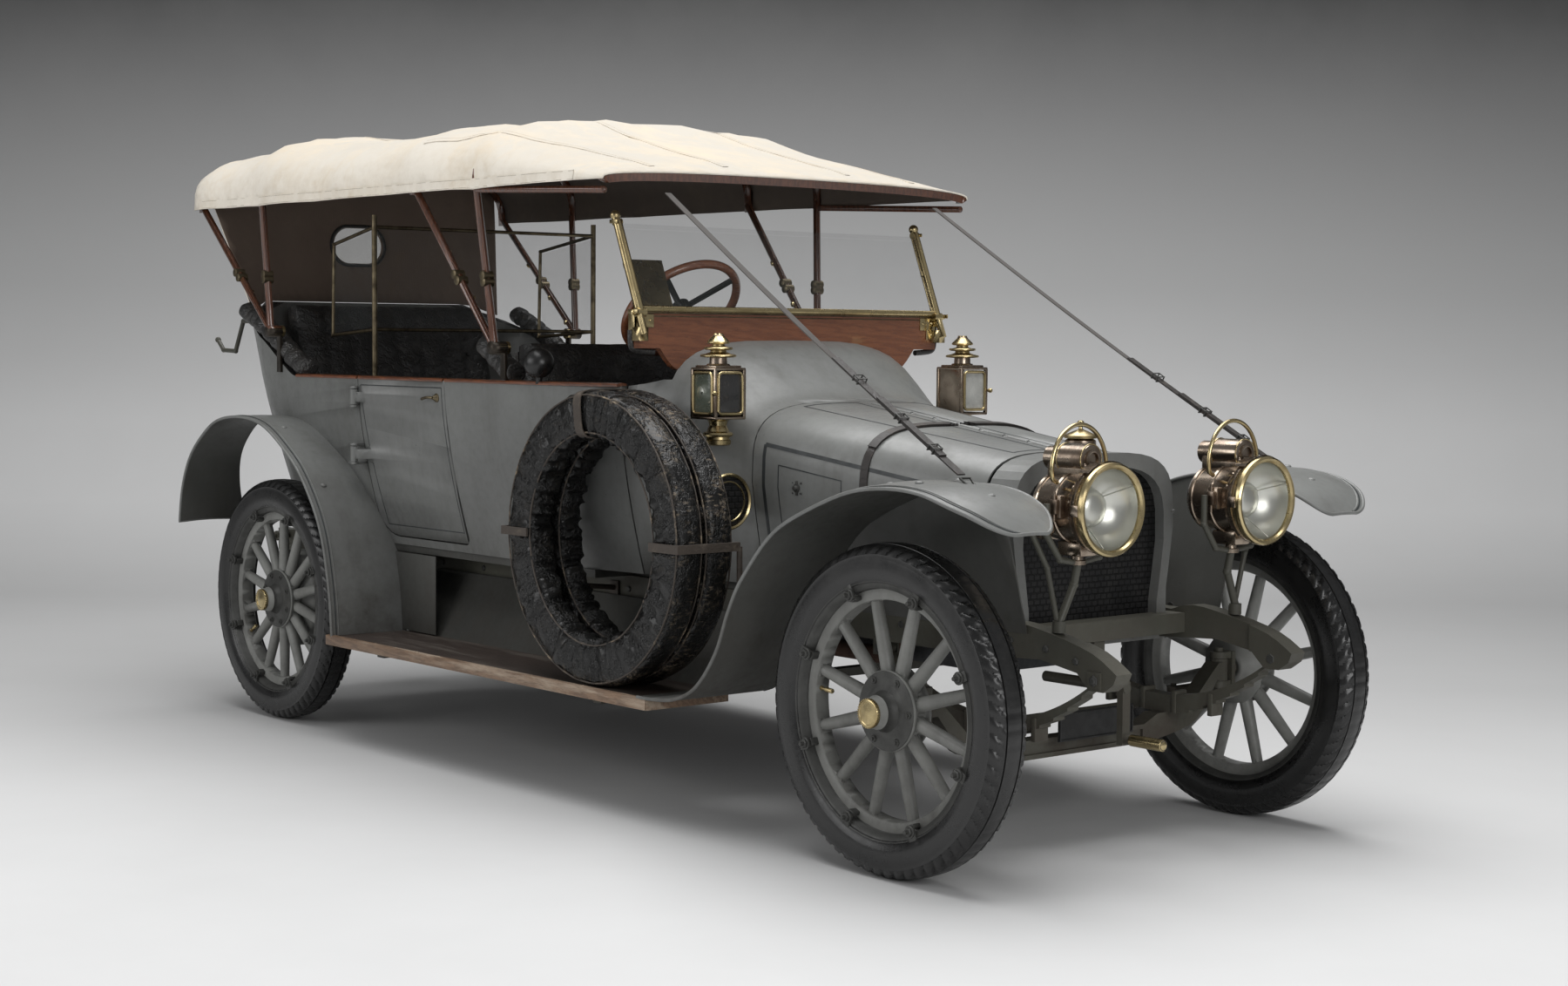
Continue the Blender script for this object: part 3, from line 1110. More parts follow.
def side_lamps():
    """The right side lamp, built round its own upright axis, and its mirror image."""
    move = Matrix.Translation(car(2.167, -0.468, 0))
    top = turned([(1.2310, 0.030), (1.2315, 0.036), (1.2400, 0.031), (1.2410, 0.025), (1.2580, 0.024),
                  (1.2600, 0.030)], (0, 0, 0), (0, 0, 1), 40)
    tiers = []
    for z, r, tall in ((1.2585, 0.0500, 0.014), (1.2790, 0.0400, 0.011), (1.2960, 0.0320, 0.022)):
        tiers.append(turned([(z - 0.002, r * 0.4), (z, r * 0.94), (z + 0.002, r), (z + 0.005, r),
                             (z + 0.007, r * 0.95), (z + tall * 0.7, r * 0.68), (z + tall, r * 0.45),
                             (z + tall + 0.002, r * 0.44), (z + tall + 0.006, r * 0.42)],
                            (0, 0, 0), (0, 0, 1), 48))
    stem = turned([(1.250, 0.016), (1.318, 0.016), (1.322, 0.012)], (0, 0, 0), (0, 0, 1), 24)
    lower = turned([(1.0150, 0.014), (1.0150, 0.031), (1.0180, 0.036), (1.0290, 0.037), (1.0310, 0.033),
                    (1.0380, 0.032), (1.0400, 0.040), (1.0450, 0.0425), (1.0500, 0.0405), (1.0540, 0.031),
                    (1.0700, 0.024), (1.0820, 0.027), (1.0880, 0.034)], (0, 0, 0), (0, 0, 1), 48)
    roof = [slab((-0.055, -0.055, 1.222), (0.055, 0.055, 1.230), 0.003),
            slab((-0.046, -0.046, 1.229), (0.046, 0.046, 1.236), 0.005)]
    floor = slab((-0.055, -0.055, 1.087), (0.055, 0.055, 1.095), 0.003)
    posts = [slab((x - 0.005, y - 0.005, 1.092), (x + 0.005, y + 0.005, 1.226), 0.002)
             for x in (-0.050, 0.050) for y in (-0.050, 0.050)]
    back = [slab((-0.052, -0.050, 1.092), (-0.048, 0.050, 1.226), 0.001),
            slab((-0.050, 0.048, 1.092), (0.050, 0.052, 1.226), 0.001)]
    arm = wire([Vector((-0.05, 0.03, 1.10)), Vector((-0.08, 0.05, 1.09)), Vector((-0.085, 0.075, 1.075)),
                Vector((-0.07, 0.095, 1.07))], 0.007)
    body = join([top, stem, *roof, floor, *posts, *back, arm])
    frames = [pane_frame("x", 0.0545), pane_frame("y", -0.0545)]
    latch = turned([(0, 0.004), (0.006, 0.007), (0.012, 0.0065), (0.015, 0.003)], (0.0545, -0.0545, 1.16),
                   (1, -1, 0), 16)
    brasswork = join([*tiers, lower, *frames, latch])
    panes = slab((0.049, -0.045, 1.100), (0.0525, 0.045, 1.219), 0.001)
    side_pane = slab((-0.045, -0.0525, 1.100), (0.045, -0.049, 1.219), 0.001)
    bull = revolved([(0.0, 0.034), (0.010, 0.030), (0.018, 0.020), (0.021, 0.004)], (-0.012, -0.030, 1.16),
                    (0.2, -1, 0), 32)
    for piece, name, look, slot in ((body, "side_lamp_bodies", "lamp_metal", None),
                                    (brasswork, "side_lamp_brass", "brass", None),
                                    (panes, "side_lamp_fronts", "lamp_pane", "lamp_glass"),
                                    (side_pane, "side_lamp_panes", "side_glass", "lamp_glass"),
                                    (bull, "side_lamp_reflectors", "silver", "lamp_metal")):
        piece.data.transform(move)
        made = finish(both(piece), name, look, "car_body", slot)
        if name == "side_lamp_bodies":
            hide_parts("side_lamps")
        if name == "side_lamp_fronts":
            second_look(made, "pale_pane", lambda f: f.center.y > 0)


def horn():
    skin = skin_of("horn")
    finish(skin, "horn_skin", "lamp_metal", "car_body", "brass")
    second_look(skin, "tyre", lambda f: f.center.x < 1.60 - MID and f.center.z > 1.12)
    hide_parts("horn")
    mouth = car(2.224, -0.476, 0.862)
    rim = revolved([(-0.004, 0.070), (-0.004, 0.077), (0.004, 0.079), (0.007, 0.075), (0.004, 0.070)], mouth,
                   (1, 0, 0), 64, True)
    inner = revolved([(0.001, 0.052), (0.004, 0.054), (0.004, 0.057), (0.0, 0.058)], mouth,
                     (1, 0, 0), 64, True)
    finish(join([rim, inner]), "horn_rim", "brass", "car_body")
    gauze = turned([(-0.002, 0.02), (-0.002, 0.071), (0.0, 0.071), (0.002, 0.052), (0.003, 0.02)], mouth,
                   (1, 0, 0), 48)
    finish(gauze, "horn_gauze", "radiator_core", "car_body", "brass")


# ---------- windscreen and board ----------
def screen_fittings():
    """The windscreen's plates, hinges and wing nuts, and the padded edge of its board."""
    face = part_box("screen_board")[1].x
    plates, pads = [], []
    for s in SIDES:
        y = s * 0.562
        plates += [slab(car(1.9285, y - 0.022, 1.312), car(1.9320, y + 0.022, 1.378), 0.0015),
                   slab(car(1.9285, y - 0.020 - s * 0.028, 1.340), car(1.9315, y + 0.020 - s * 0.028, 1.378),
                        0.0015)]
        plates += [rivet(car(1.932, y, z), (1, 0, 0), 0.0065) for z in (1.326, 1.362)]
        plates += [rivet(car(1.9315, y - s * 0.036, 1.360), (1, 0, 0), 0.005)]
        plates += [slab(car(1.902, s * 0.579 - 0.004, 1.330), car(1.932, s * 0.579 + 0.004, 1.385), 0.0015)]
        # hinged foot and wing nut of the frame
        foot = car(1.944, s * 0.572, 1.382)
        plates += [turned([(-0.016, 0.008), (-0.016, 0.013), (0.016, 0.013), (0.016, 0.008)], foot,
                          (0, 1, 0), 24),
                   slab(foot + Vector((-0.010, -0.006, -0.030)), foot + Vector((0.008, 0.006, 0.010)), 0.002)]
        nut = foot + Vector((0, s * 0.020, 0))
        plates += [turned([(0, 0.008), (0.010, 0.007), (0.012, 0.003)], nut, (0, s, 0), 16),
                   slab(nut + Vector((-0.022, -0.0015 + s * 0.006, -0.004)),
                        nut + Vector((0.022, 0.0015 + s * 0.006, 0.008)), 0.0012)]
        upper = car(1.944 - 0.115 * 0.93, s * 0.574, 1.38 + 0.276 * 0.93)
        plates += [turned([(-0.012, 0.006), (-0.012, 0.011), (0.012, 0.011), (0.012, 0.006)], upper,
                          (0, 1, 0), 20),
                   slab(upper + Vector((-0.018, -0.0015 + s * 0.014, -0.004)),
                        upper + Vector((0.018, 0.0015 + s * 0.014, 0.007)), 0.0012)]
        edge = [car(1.917, s * 0.586, 1.332), car(1.917, s * 0.586, 1.305), car(1.917, s * 0.582, 1.285),
                car(1.917, s * 0.570, 1.276), car(1.917, s * 0.540, 1.272), car(1.917, s * 0.505, 1.270)]
        pads.append(wire(curve(edge, 4), 0.0085))
        for dx, r in ((0.004, 0.0095), (-0.013, 0.0070)):
            plates.append(rod(foot + Vector((dx, 0, 0.004)), upper + Vector((dx, 0, 0.006)), r, r, 20))
        for t in (0.06, 0.5):
            plates.append(rod(foot.lerp(upper, t) + Vector((-0.004, 0, 0)),
                              foot.lerp(upper, t + 0.05) + Vector((-0.004, 0, 0)), 0.0125, 0.0125, 20))
    finish(join(plates), "screen_brasses", "brass", "car_body")
    frame_skin = smooth_copy("windscreen_frame", "brass")
    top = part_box("windscreen_frame")[1].z
    second_look(frame_skin, "screen_glass", lambda f: f.center.z > top - 0.058 and abs(f.center.y) < 0.55)
    finish(join(pads), "screen_board_pads", "seat_leather", "car_body")
    strip = slab((face - 0.004, -0.565, 1.3795), (face + 0.010, 0.565, 1.3860), 0.002)
    bead = slab((face, -0.52, 1.3705), (face + 0.0025, 0.52, 1.3735), 0.001)
    finish(join([strip, bead]), "screen_foot_strip", "dull_brass", "car_body", "brass")


# ---------- seats ----------
def pad(place, sizes, channels, seed):
    """A padded piece: place(u, v, w) puts its unit shape; u across, v along, w through."""
    clear()
    bpy.ops.mesh.primitive_cube_add(size=2)
    piece = bpy.context.object
    bpy.ops.object.mode_set(mode="EDIT")
    bpy.ops.mesh.select_all(action="SELECT")
    bpy.ops.mesh.subdivide(number_cuts=46)
    bpy.ops.object.mode_set(mode="OBJECT")
    wide, long = sizes
    for vertex in piece.data.vertices:
        u, v, w = vertex.co
        near = max(abs(u), abs(v))
        round_w = w * (1 - 0.45 * near ** 9)
        top = 0.5 + 0.5 * w
        swell = 0.1225 * (1 - abs(u) ** 5) * (1 - abs(v) ** 4) * top
        part = (u * 0.5 + 0.5) * channels
        groove = 0
        if 0.2 < part < channels - 0.2:
            groove = math.exp(-((part - round(part)) * wide / channels / 0.014) ** 2)
        dimple = 0.010 * groove * top * (1 - abs(v) ** 8 * 0.3)
        crease = 0.006 * noise.noise(Vector((u * 4 * wide, v * 9 * long, seed))) * top
        pull = 1 - 0.035 * round_w ** 2
        outward = (place(u, v, round_w + 0.01) - place(u, v, round_w)).normalized()
        vertex.co = place(u * pull * (1 - 0.02 * abs(v) ** 3), v * pull, round_w + swell)
        vertex.co += outward * (crease - dimple)
    return piece


def plane_place(low, high, thick, half):
    """A placing for pad() between the middles of two edges, its thickness to the front or the top."""
    low, high = Vector(low), Vector(high)
    mid, along = (low + high) / 2, (high - low) / 2
    out = Vector((-along.z, 0, along.x)).normalized()
    if out.z < 0 or (abs(out.z) < 0.5 and out.x < 0):
        out = -out
    return lambda u, v, w: mid + Vector((0, u * half, 0)) + along * v + out * (thick / 2 * w)


def seats():
    """Cushion and squab of both seats, in channels with two rows of buttons."""
    made, spots = [], []
    for name, low, high, thick, half, channels, seed in (
            ("front_cushion", car(1.330, 0, 0.892), car(1.612, 0, 0.900), 0.130, 0.466, 9, 1),
            ("front_squab", car(1.245, 0, 0.850), car(1.178, 0, 1.288), 0.120, 0.462, 9, 2),
            ("rear_cushion", car(-0.165, 0, 0.900), car(0.092, 0, 0.908), 0.128, 0.452, 9, 3),
            ("rear_squab", car(-0.270, 0, 0.850), car(-0.430, 0, 1.415), 0.110, 0.398, 8, 4)):
        place = plane_place(low, high, thick, half)
        piece = pad(place, (half * 2, (high - low).length), channels, seed)
        finish(piece, name, "seat_leather", "car_body", sharp=70)
        made.append(piece)
        for i in range(1, channels):
            for v in (-0.35, 0.35):
                u = i / channels * 2 - 1
                spots.append((place(u, v, 1.02), place(u, v, 0)))
    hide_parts("front_seat")
    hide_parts("rear_seat")
    buttons = [rivet(at - (at - middle).normalized() * 0.004, at - middle, 0.008) for at, middle in spots]
    finish(join(buttons), "seat_buttons", "seat_leather", "car_body")


def gathered_roll(points, r, seed, flat):
    """A stuffed leather roll, pinched at even places along a line."""
    line = curve(points, 16)
    rows, total = [], 0.0
    for i, at in enumerate(line):
        if i:
            total += (at - line[i - 1]).length
        along = (line[min(i + 1, len(line) - 1)] - line[max(i - 1, 0)]).normalized()
        side = along.cross(Vector((0, 0, 1))).normalized()
        up = side.cross(along).normalized()
        end = min(1, i / 5, (len(line) - 1 - i) / 5)
        round_off = math.sqrt(max(0.02, 1 - (1 - end) ** 2))
        pinch = abs(math.sin(total / 0.062 * math.pi)) ** 0.55
        row = []
        for k in range(25):
            a = math.tau * k / 24
            out = side * math.cos(a) * flat + up * math.sin(a)
            wrinkle = 0.10 * noise.noise(Vector((total * 55, math.cos(a) * 1.6, math.sin(a) * 1.6 + seed)))
            row.append(at + out * r * round_off * (0.80 + 0.20 * pinch + wrinkle))
        rows.append(row)
    return mend(grid(rows), 0.00001, ends=True)


def leather_rolls():
    """The stuffed rolls along the body's upper edge beside each seat."""
    tree = surface("leather_rolls")
    rolls = []
    for xs in ((-0.43, 0.06), (1.13, 1.33)):
        points = []
        for k in range(9):
            x = mix(xs[0] + 0.012, xs[1] - 0.012, k / 8)
            found = lay(tree, [car(x, -0.570, 3)], (0, 0, -1), 0)
            if found:
                points.append(found[0][0] - Vector((0, 0, 0.028)))
        rolls.append(gathered_roll(points, 0.033, xs[0], 1.15))
    made = finish(both(join(rolls)), "gathered_rolls", "seat_leather", "car_body", sharp=80)
    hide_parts("leather_rolls")


# ---------- wings ----------
# middle lines of the wings' tops, (from the rear axle, height)
FRONT_WING = [(2.198, 0.3457), (2.248, 0.346), (2.36, 0.358), (2.455, 0.402), (2.538, 0.5), (2.591, 0.616),
              (2.651, 0.711), (2.788, 0.85), (3.001, 0.944), (3.158, 0.973), (3.308, 0.966), (3.42, 0.926),
              (3.492, 0.866)]
REAR_WING = [(-0.564, 0.652), (-0.54, 0.77), (-0.481, 0.879), (-0.383, 0.961), (-0.263, 1.019),
             (-0.097, 1.036), (0.064, 1.014), (0.219, 0.938), (0.34, 0.848), (0.457, 0.694), (0.514, 0.51),
             (0.534, 0.341)]


def body_side(z):
    return 0.6 - 0.1 * (max(0, BELT - z) / 0.527) ** 1.6


def body_narrow(x):
    if x > SCUTTLE:
        return mix(0.7, 0.55, (x - SCUTTLE) / 0.82)
    return 1 - 0.3 * limit((x - 1.35) / 0.88, 0, 1) ** 1.4


def front_edges(x, z):
    """A front wing's inner and outer edge off the middle of the car, and how far it is crowned."""
    d = limit((x - FRONT - 0.24) / 0.152, 0, 1)
    nose = 0.150 * (1 - math.sqrt(1 - d * d * 0.985))
    return 0.458 + nose * 0.6, WING_Y - nose, 0.014 * ease((x - FRONT + 0.5) / 0.3)


def rear_edges(x, z):
    """The same of a rear wing."""
    return max(body_side(z) + 0.006, 0.482), WING_Y, 0.010 * ease((z - BOARD_Z) / 0.15)


def wing_point(p, edges, inset):
    """A point of the right wing's top, that far in from its outer edge."""
    low, high, crown = edges(p.x, p.z)
    y = high - inset
    u = (y - low) / (high - low) * 2 - 1
    full = (high - low) / 0.3
    return car(p.x, -y, p.z - crown * min(1, full * full) * u * u)


def wing_line(path, edges):
    """The smooth line of a wing, closer stepped where the front wing's nose ends."""
    line = curve([(x, 0, z) for x, z in path], 10)
    if edges is front_edges:
        end, before = line[-1], line[-2]
        line = line[:-1] + [before.lerp(end, t) for t in (0.3, 0.55, 0.75, 0.9, 1.0)]
    return line


def wings():
    """Skin, rolled beads, painted line and bolt heads of the right wings, and their mirror image."""
    skins, beads, lines = [], [], []
    drop = Vector((0, 0, 0.002))
    for path, edges in ((FRONT_WING, front_edges), (REAR_WING, rear_edges)):
        front = edges is front_edges
        line = wing_line(path, edges)
        rows = []
        for p in line:
            low, high, _ = edges(p.x, p.z)
            rows.append([wing_point(p, edges, (high - low) * k / 12) for k in range(13)])
        sheet = mend(grid(rows), gap=0)
        middle = sheet.data.polygons[len(sheet.data.polygons) * 6 // 10]
        if middle.normal.z < 0:
            sheet.data.flip_normals()
        skins.append(thicken(sheet, 0.005))
        outer = [row[0] - drop for row in rows]
        inner = [row[-1] - drop for row in rows]
        if front:
            nose = [p - drop for p in rows[-1]]
            beads.append(wire(outer + nose[1:] + inner[::-1][1:70], 0.0048, False, 3))
        else:
            tail = [p - drop for p in rows[0]]
            beads.append(wire(tail[::-1] + outer[1:], 0.0048, False, 3))
        track, n = [], len(line)
        first = 18 if front else 0          # a front wing's line and rib start past its foot
        for i in range(first, n):
            along = (line[min(i + 1, n - 1)] - line[max(i - 1, 0)]).normalized()
            low, high, _ = edges(line[i].x, line[i].z)
            if high - low > 0.10:
                track.append((wing_point(line[i], edges, 0.017), Vector((-along.z, 0, along.x))))
        lines.append(ribbon(track, 0.0035))
        last = n - 4 if front else n
        beads.append(wire([wing_point(p, edges, 0.026) for p in line[first:last]], 0.0028, False, 2))
    skin = finish(both(join(skins)), "wing_skins", "body_paint", "car_body", sharp=50)
    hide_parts("front_wings", "rear_wings")
    second_look(skin, "valance_paint", lambda f: f.normal.dot(
        Vector(((FRONT if f.center.x > 0.6 else 0) - MID - f.center.x, 0, AXLE - f.center.z))) > 0.02)
    finish(both(join(beads)), "wing_beads", "body_paint", "car_body", sharp=60)
    finish(both(join(lines)), "wing_lines", "line_paint", "car_body", "body_paint")
    spots = []
    for x, y in ((3.02, 0.60), (3.19, 0.53), (3.22, 0.69), (3.37, 0.60)):
        z = [p.z for p in curve([(a, 0, b) for a, b in FRONT_WING], 10) if p.x > x][0]
        u = (y - 0.458) / 0.307 * 2 - 1
        spots.append((car(x, -y, z - 0.014 * u * u), (-0.05, 0, 1)))
    for x, y in ((-0.20, 0.70), (0.10, 0.70), (0.36, 0.70)):
        p = min([q for q in curve([(a, 0, b) for a, b in REAR_WING], 10) if q.z > 0.7],
                key=lambda q: abs(q.x - x))
        spots.append((car(p.x, -y, p.z - 0.003), (x * 0.9, 0, 1)))
    domes = [turned([(-0.002, 0.010), (0.001, 0.011), (0.004, 0.009), (0.006, 0.005)], at, toward, 20)
             for at, toward in spots]
    finish(both(join(domes)), "wing_bolts", "body_paint", "car_body")


# ---------- body ----------
def framed_panel(tree, corners, toward, wide, steps=16):
    """Four painted lines on a surface, square to each other, drawn between the corners."""
    made = []
    corners = [Vector(c) for c in corners]
    for a, b in zip(corners, corners[1:] + corners[:1]):
        track = lay(tree, [a.lerp(b, k / steps) for k in range(steps + 1)], toward)
        if len(track) > 2:
            made.append(ribbon(track, wide, 0.0003, 0.0004))
    return made


def coach_lines():
    """Painted lines and a catch on each side of the bonnet, and painted lines on the doors."""
    for s, tag in zip(SIDES, ("right", "left")):
        tree, body = surface("bonnet_" + tag), "hood_leaf_" + tag
        side = ((2.275, 1.020), (2.995, 0.918), (2.995, 0.752), (2.275, 0.752))
        top = ((2.262, 0.04), (3.012, 0.04), (3.012, 0.165), (2.262, 0.235))
        vent = ((2.330, 0.965), (2.560, 0.932), (2.560, 0.772), (2.330, 0.772))
        made = framed_panel(tree, [car(x, s * 0.9, z) for x, z in side], (0, -s, 0), 0.011)
        made += framed_panel(tree, [car(x, s * y, 1.6) for x, y in top], (0, 0, -1), 0.006)
        made += framed_panel(tree, [car(x, s * 0.9, z) for x, z in vent], (0, -s, 0), 0.003)
        finish(join(made), "bonnet_lines_" + tag, "line_paint", body, "body_paint")
        spot = lay(tree, [car(2.400, s * 0.9, 0.905)], (0, -s, 0))[0][0]
        knob = turned([(0, 0.012), (0.003, 0.012), (0.004, 0.008), (0.012, 0.006), (0.013, 0.003)], spot,
                      (0, s, 0), 20)
        bar = slab(spot + Vector((-0.004, -0.003, -0.020)), spot + Vector((0.004, 0.003, 0.020)), 0.002)
        rivets = [rivet(spot + Vector((dx, 0, dz)), (0, s, 0), 0.0035) for dx in (-0.017, 0.017)
                  for dz in (-0.014, 0.014)]
        finish(join([knob, bar, *rivets]), "bonnet_catch_" + tag, "wheel_iron", body, "body_paint")
    for name, body, s, back, front, foot in (("rear_door_right", "door_rear_right", -1, 0.435, 0.935, 0.470),
                                             ("rear_door_left", "door_rear_left", 1, 0.435, 0.935, 0.470),
                                             ("front_door_left", "door_front_left", 1, 1.362, 1.770, 1.362)):
        corners = ((back, 1.150), (front, 1.150), (front, 0.690), (foot, 0.690))
        made = framed_panel(surface(name), [car(x, s * 0.95, z) for x, z in corners], (0, -s, 0), 0.003)
        finish(join(made), name + "_lines", "line_paint", body, "body_paint")


def arch_strap(x, low, width, thick, lift, start, side):
    """Half a strap over the bonnet, from start off the middle down one side to the height low."""
    tree = surface("bonnet_right", "bonnet_left")
    track = []
    for k in range(61):
        a = math.radians(mix(-28, 208, k / 60))
        centre = car(x, 0, 0.86)
        way = Vector((0, math.cos(a), math.sin(a)))
        found = lay(tree, [centre + way * 0.9], -way, 0)
        if found and found[0][0].z > low and found[0][0].y * side > start:
            track.append(found[0])
    return ribbon(track, width, lift, thick)


def bonnet_strap():
    """A strap over both leaves and a second layer of it, parted where the leaves hinge."""
    for side, tag in zip(SIDES, ("right", "left")):
        for name, *sizes in (("bonnet_strap_", 0.80, 0.026, 0.0035, 0.0005, -0.001),
                             ("bonnet_strap_lap_", 1.02, 0.030, 0.0030, 0.0045, 0.019)):
            finish(arch_strap(2.640, *sizes, side), name + tag, "dark_strap", "hood_leaf_" + tag,
                   "strap_leather", sharp=40)


def capping(x0, x1, s):
    """A moulded wooden rail on one side's upper edge, from x0 to x1."""
    section = ((0.0035, -0.003), (0.0045, 0.002), (0.002, 0.0065), (-0.014, 0.009), (-0.030, 0.0065),
               (-0.032, 0.001), (0.0035, -0.003))
    rows = []
    for k in range(25):
        x = mix(x0, x1, k / 24)
        y = 0.6 * body_narrow(x)
        rows.append([car(x, s * (y + out), BELT + up) for out, up in section])
    return mend(grid(rows), ends=True)


def belt_rails():
    """The rails of the fixed body in one piece, and one rail on each door."""
    fixed = [capping(x0, x1, s) for x0, x1, s in ((0.0, 0.412, -1), (0.958, 1.785, -1), (0.0, 0.412, 1),
                                                  (0.958, 1.336, 1))]
    finish(join(fixed), "belt_rail", "mahogany_long", "car_body", "mahogany")
    for name, x0, x1, s in (("rear_right", 0.424, 0.946, -1), ("rear_left", 0.424, 0.946, 1),
                            ("front_left", 1.349, 1.781, 1)):
        finish(capping(x0, x1, s), "belt_rail_" + name, "mahogany_long", "door_" + name, "mahogany")


def running_boards():
    """The boards with their nosing and its row of rivets."""
    skin = smooth_copy("running_boards", "board_wood")
    second_look(skin, "valance_paint", lambda f: abs(f.center.y) < 0.481 or (
        abs(f.normal.y) > 0.8 and abs(f.center.y) < 0.5))
    trims = []
    x0, x1 = 0.5, FRONT - 0.862
    trims.append(slab(car(x0, -0.7690, 0.311), car(x1, -0.7655, 0.342), 0.001))
    trims.append(slab(car(x0, -0.7655, 0.3402), car(x1, -0.7500, 0.3430), 0.001))
    trims.append(slab(car(x1, -0.7655, 0.311), car(x1 + 0.003, -0.484, 0.342), 0.001))
    for k in range(14):
        trims.append(rivet(car(mix(x0 + 0.05, x1 - 0.05, k / 13), -0.758, 0.3428), (0, 0, 1), 0.0035))
    finish(both(join(trims)), "board_edging", "board_edge", "car_body", "board_wood")


def steering():
    skin = skin_of("steering_wheel")
    finish(skin, "steering_wheel_skin", "plate_black", NODES["steering_wheel"]["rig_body"])
    centre, rim = car(1.705, -0.245, 1.398), 0.168
    second_look(skin, "mahogany_flat", lambda f: (f.center - centre).length > rim)
    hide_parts("steering_wheel")


def hood_sticks():
    """The hood's wooden sticks above the body, with their rivets and hinge knuckles."""
    skin = smooth_copy("hood_frame", "mahogany")
    cut_below(skin, (0, 0, BELT + 0.012))
    second_look(skin, "stick_iron", lambda f: f.center.z < 1.335)
    tree = surface("hood_frame")
    rivets = []
    for foot, head in (((1.300, 0.600, 1.277), (0.89, 0.640, 1.74)),
                       ((-0.11, 0.600, 1.325), (-0.62, 0.640, 1.74))):
        for t in (0.10, 0.32, 0.62):
            at = car(*Vector(foot).lerp(Vector(head), t))
            for s in SIDES:
                near, normal, _, far = tree.find_nearest(Vector((at.x, s * at.y, at.z)))
                if near and far < 0.08:
                    rivets.append(turned([(-0.002, 0.009), (0.003, 0.009), (0.005, 0.006)], near, normal, 16))
    finish(join(rivets), "stick_rivets", "brass", "car_body")
    knuckles = []
    for x, z, x_top in ((1.300, 1.277, 0.89), (1.300, 1.277, 1.25), (-0.110, 1.325, -0.62),
                        (-0.110, 1.325, -0.15)):
        for s in SIDES:
            for where in (0.43, 0.47):
                spot = car(mix(x, x_top, where), s * mix(0.600, 0.640, where), mix(z, 1.74, where))
                near, normal = tree.find_nearest(spot)[:2]
                knuckles.append(turned([(-0.019, 0.010), (-0.017, 0.0145), (0.017, 0.0145), (0.019, 0.010)],
                                       near - normal * 0.012, (0, 1, 0), 18))
    finish(join(knuckles), "stick_knuckles", "dull_brass", "car_body", "brass")


def hung(a, b, t, up=0.0):
    """A point of a strap that sags between a and b, raised by up off its middle line."""
    along = (b - a).normalized()
    rise = along.cross(Vector((0, 0, 1))).normalized().cross(along).normalized()
    return a.lerp(b, t) + rise * up - Vector((0, 0, 0.012)) * math.sin(math.pi * t)


def band(a, b, t0, t1, wide, thick, lift):
    """A flat length of the strap from a to b, between t0 and t1 of its way."""
    along = (b - a).normalized()
    across = along.cross(Vector((0, 0, 1))).normalized() * wide / 2
    up = across.cross(along).normalized() * thick / 2
    rows = []
    for k in range(25):
        at = hung(a, b, mix(t0, t1, k / 24), lift)
        rows.append([at + across + up, at - across + up, at - across - up, at + across - up,
                     at + across + up])
    return mend(grid(rows), ends=True)


def hood_strap_pieces():
    """The two straps from the hood to the car's nose: webbing, leather ends, buckles and hooks."""
    webs, ends, buckles = [], [], []
    for s in SIDES:
        a, b = car(1.991, s * 0.512, 1.714), car(3.270, s * 0.585, 0.976)
        along = (b - a).normalized()
        across = along.cross(Vector((0, 0, 1))).normalized()
        up = across.cross(along).normalized()
        webs.append(band(a, b, 0.0, 0.68, 0.020, 0.003, 0))
        ends.append(band(a, b, 0.60, 0.985, 0.024, 0.004, 0.0035))
        ends.append(band(a, b, 0.74, 0.93, 0.023, 0.004, 0.008))
        for t in (0.67, 0.80, 0.90):
            at = hung(a, b, t, 0.004)
            loop = [at + across * x + up * z for x, z in (
                (-0.0135, -0.005), (0.0135, -0.005), (0.0135, 0.010), (-0.0135, 0.010))]
            far_loop = [p + along * 0.020 for p in loop]
            near_wire = wire(loop, 0.0022, True, 2)
            sides = [rod(loop[i], far_loop[i], 0.002, None, 8) for i in (2, 3)]
            buckles.append(join([near_wire, wire(far_loop, 0.0022, True, 2), *sides]))
        hook = b + along * -0.006
        buckles.append(wire([hook - across * 0.016 + up * 0.003, hook + across * 0.016 + up * 0.003,
                             hook + across * 0.010 + along * 0.035, hook + along * 0.045,
                             hook - across * 0.010 + along * 0.035], 0.0032, True, 3))
    web = finish(join(webs), "hood_webbing", "webbing", "car_body", "strap_leather")
    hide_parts("hood_straps")
    finish(join(ends), "hood_strap_ends", "dark_strap", "car_body", "strap_leather")
    finish(join(buckles), "hood_buckles", "wheel_iron", "car_body", "strap_leather")


# ---------- small ironwork ----------
def filler_cap():
    low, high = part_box("filler_cap")
    mid = Vector(((low.x + high.x) / 2, 0, low.z))
    r, tall = (high.y - low.y) / 2, high.z - low.z
    neck = turned([(0, r * 0.80), (tall * 0.12, r * 0.80), (tall * 0.16, r * 0.90), (tall * 0.34, r * 0.98),
                   (tall * 0.50, r * 0.96), (tall * 0.58, r * 0.80), (tall * 0.60, r * 0.74)], mid,
                  (0, 0, 1), 48)
    made = finish(neck, "filler_neck", "lamp_metal", "car_body", "brass")
    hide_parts("filler_cap")
    lid = turned([(tall * z, r * wide) for z, wide in (
        (0.58, 0.70), (0.60, 1.0), (0.66, 1.03), (0.72, 1.0), (0.78, 0.86), (0.90, 0.46), (0.96, 0.22),
        (1.00, 0.13), (1.08, 0.12), (1.12, 0.20), (1.22, 0.24), (1.32, 0.19), (1.36, 0.08))],
                 mid, (0, 0, 1), 48)
    finish(lid, "filler_lid", "brass", "car_body")


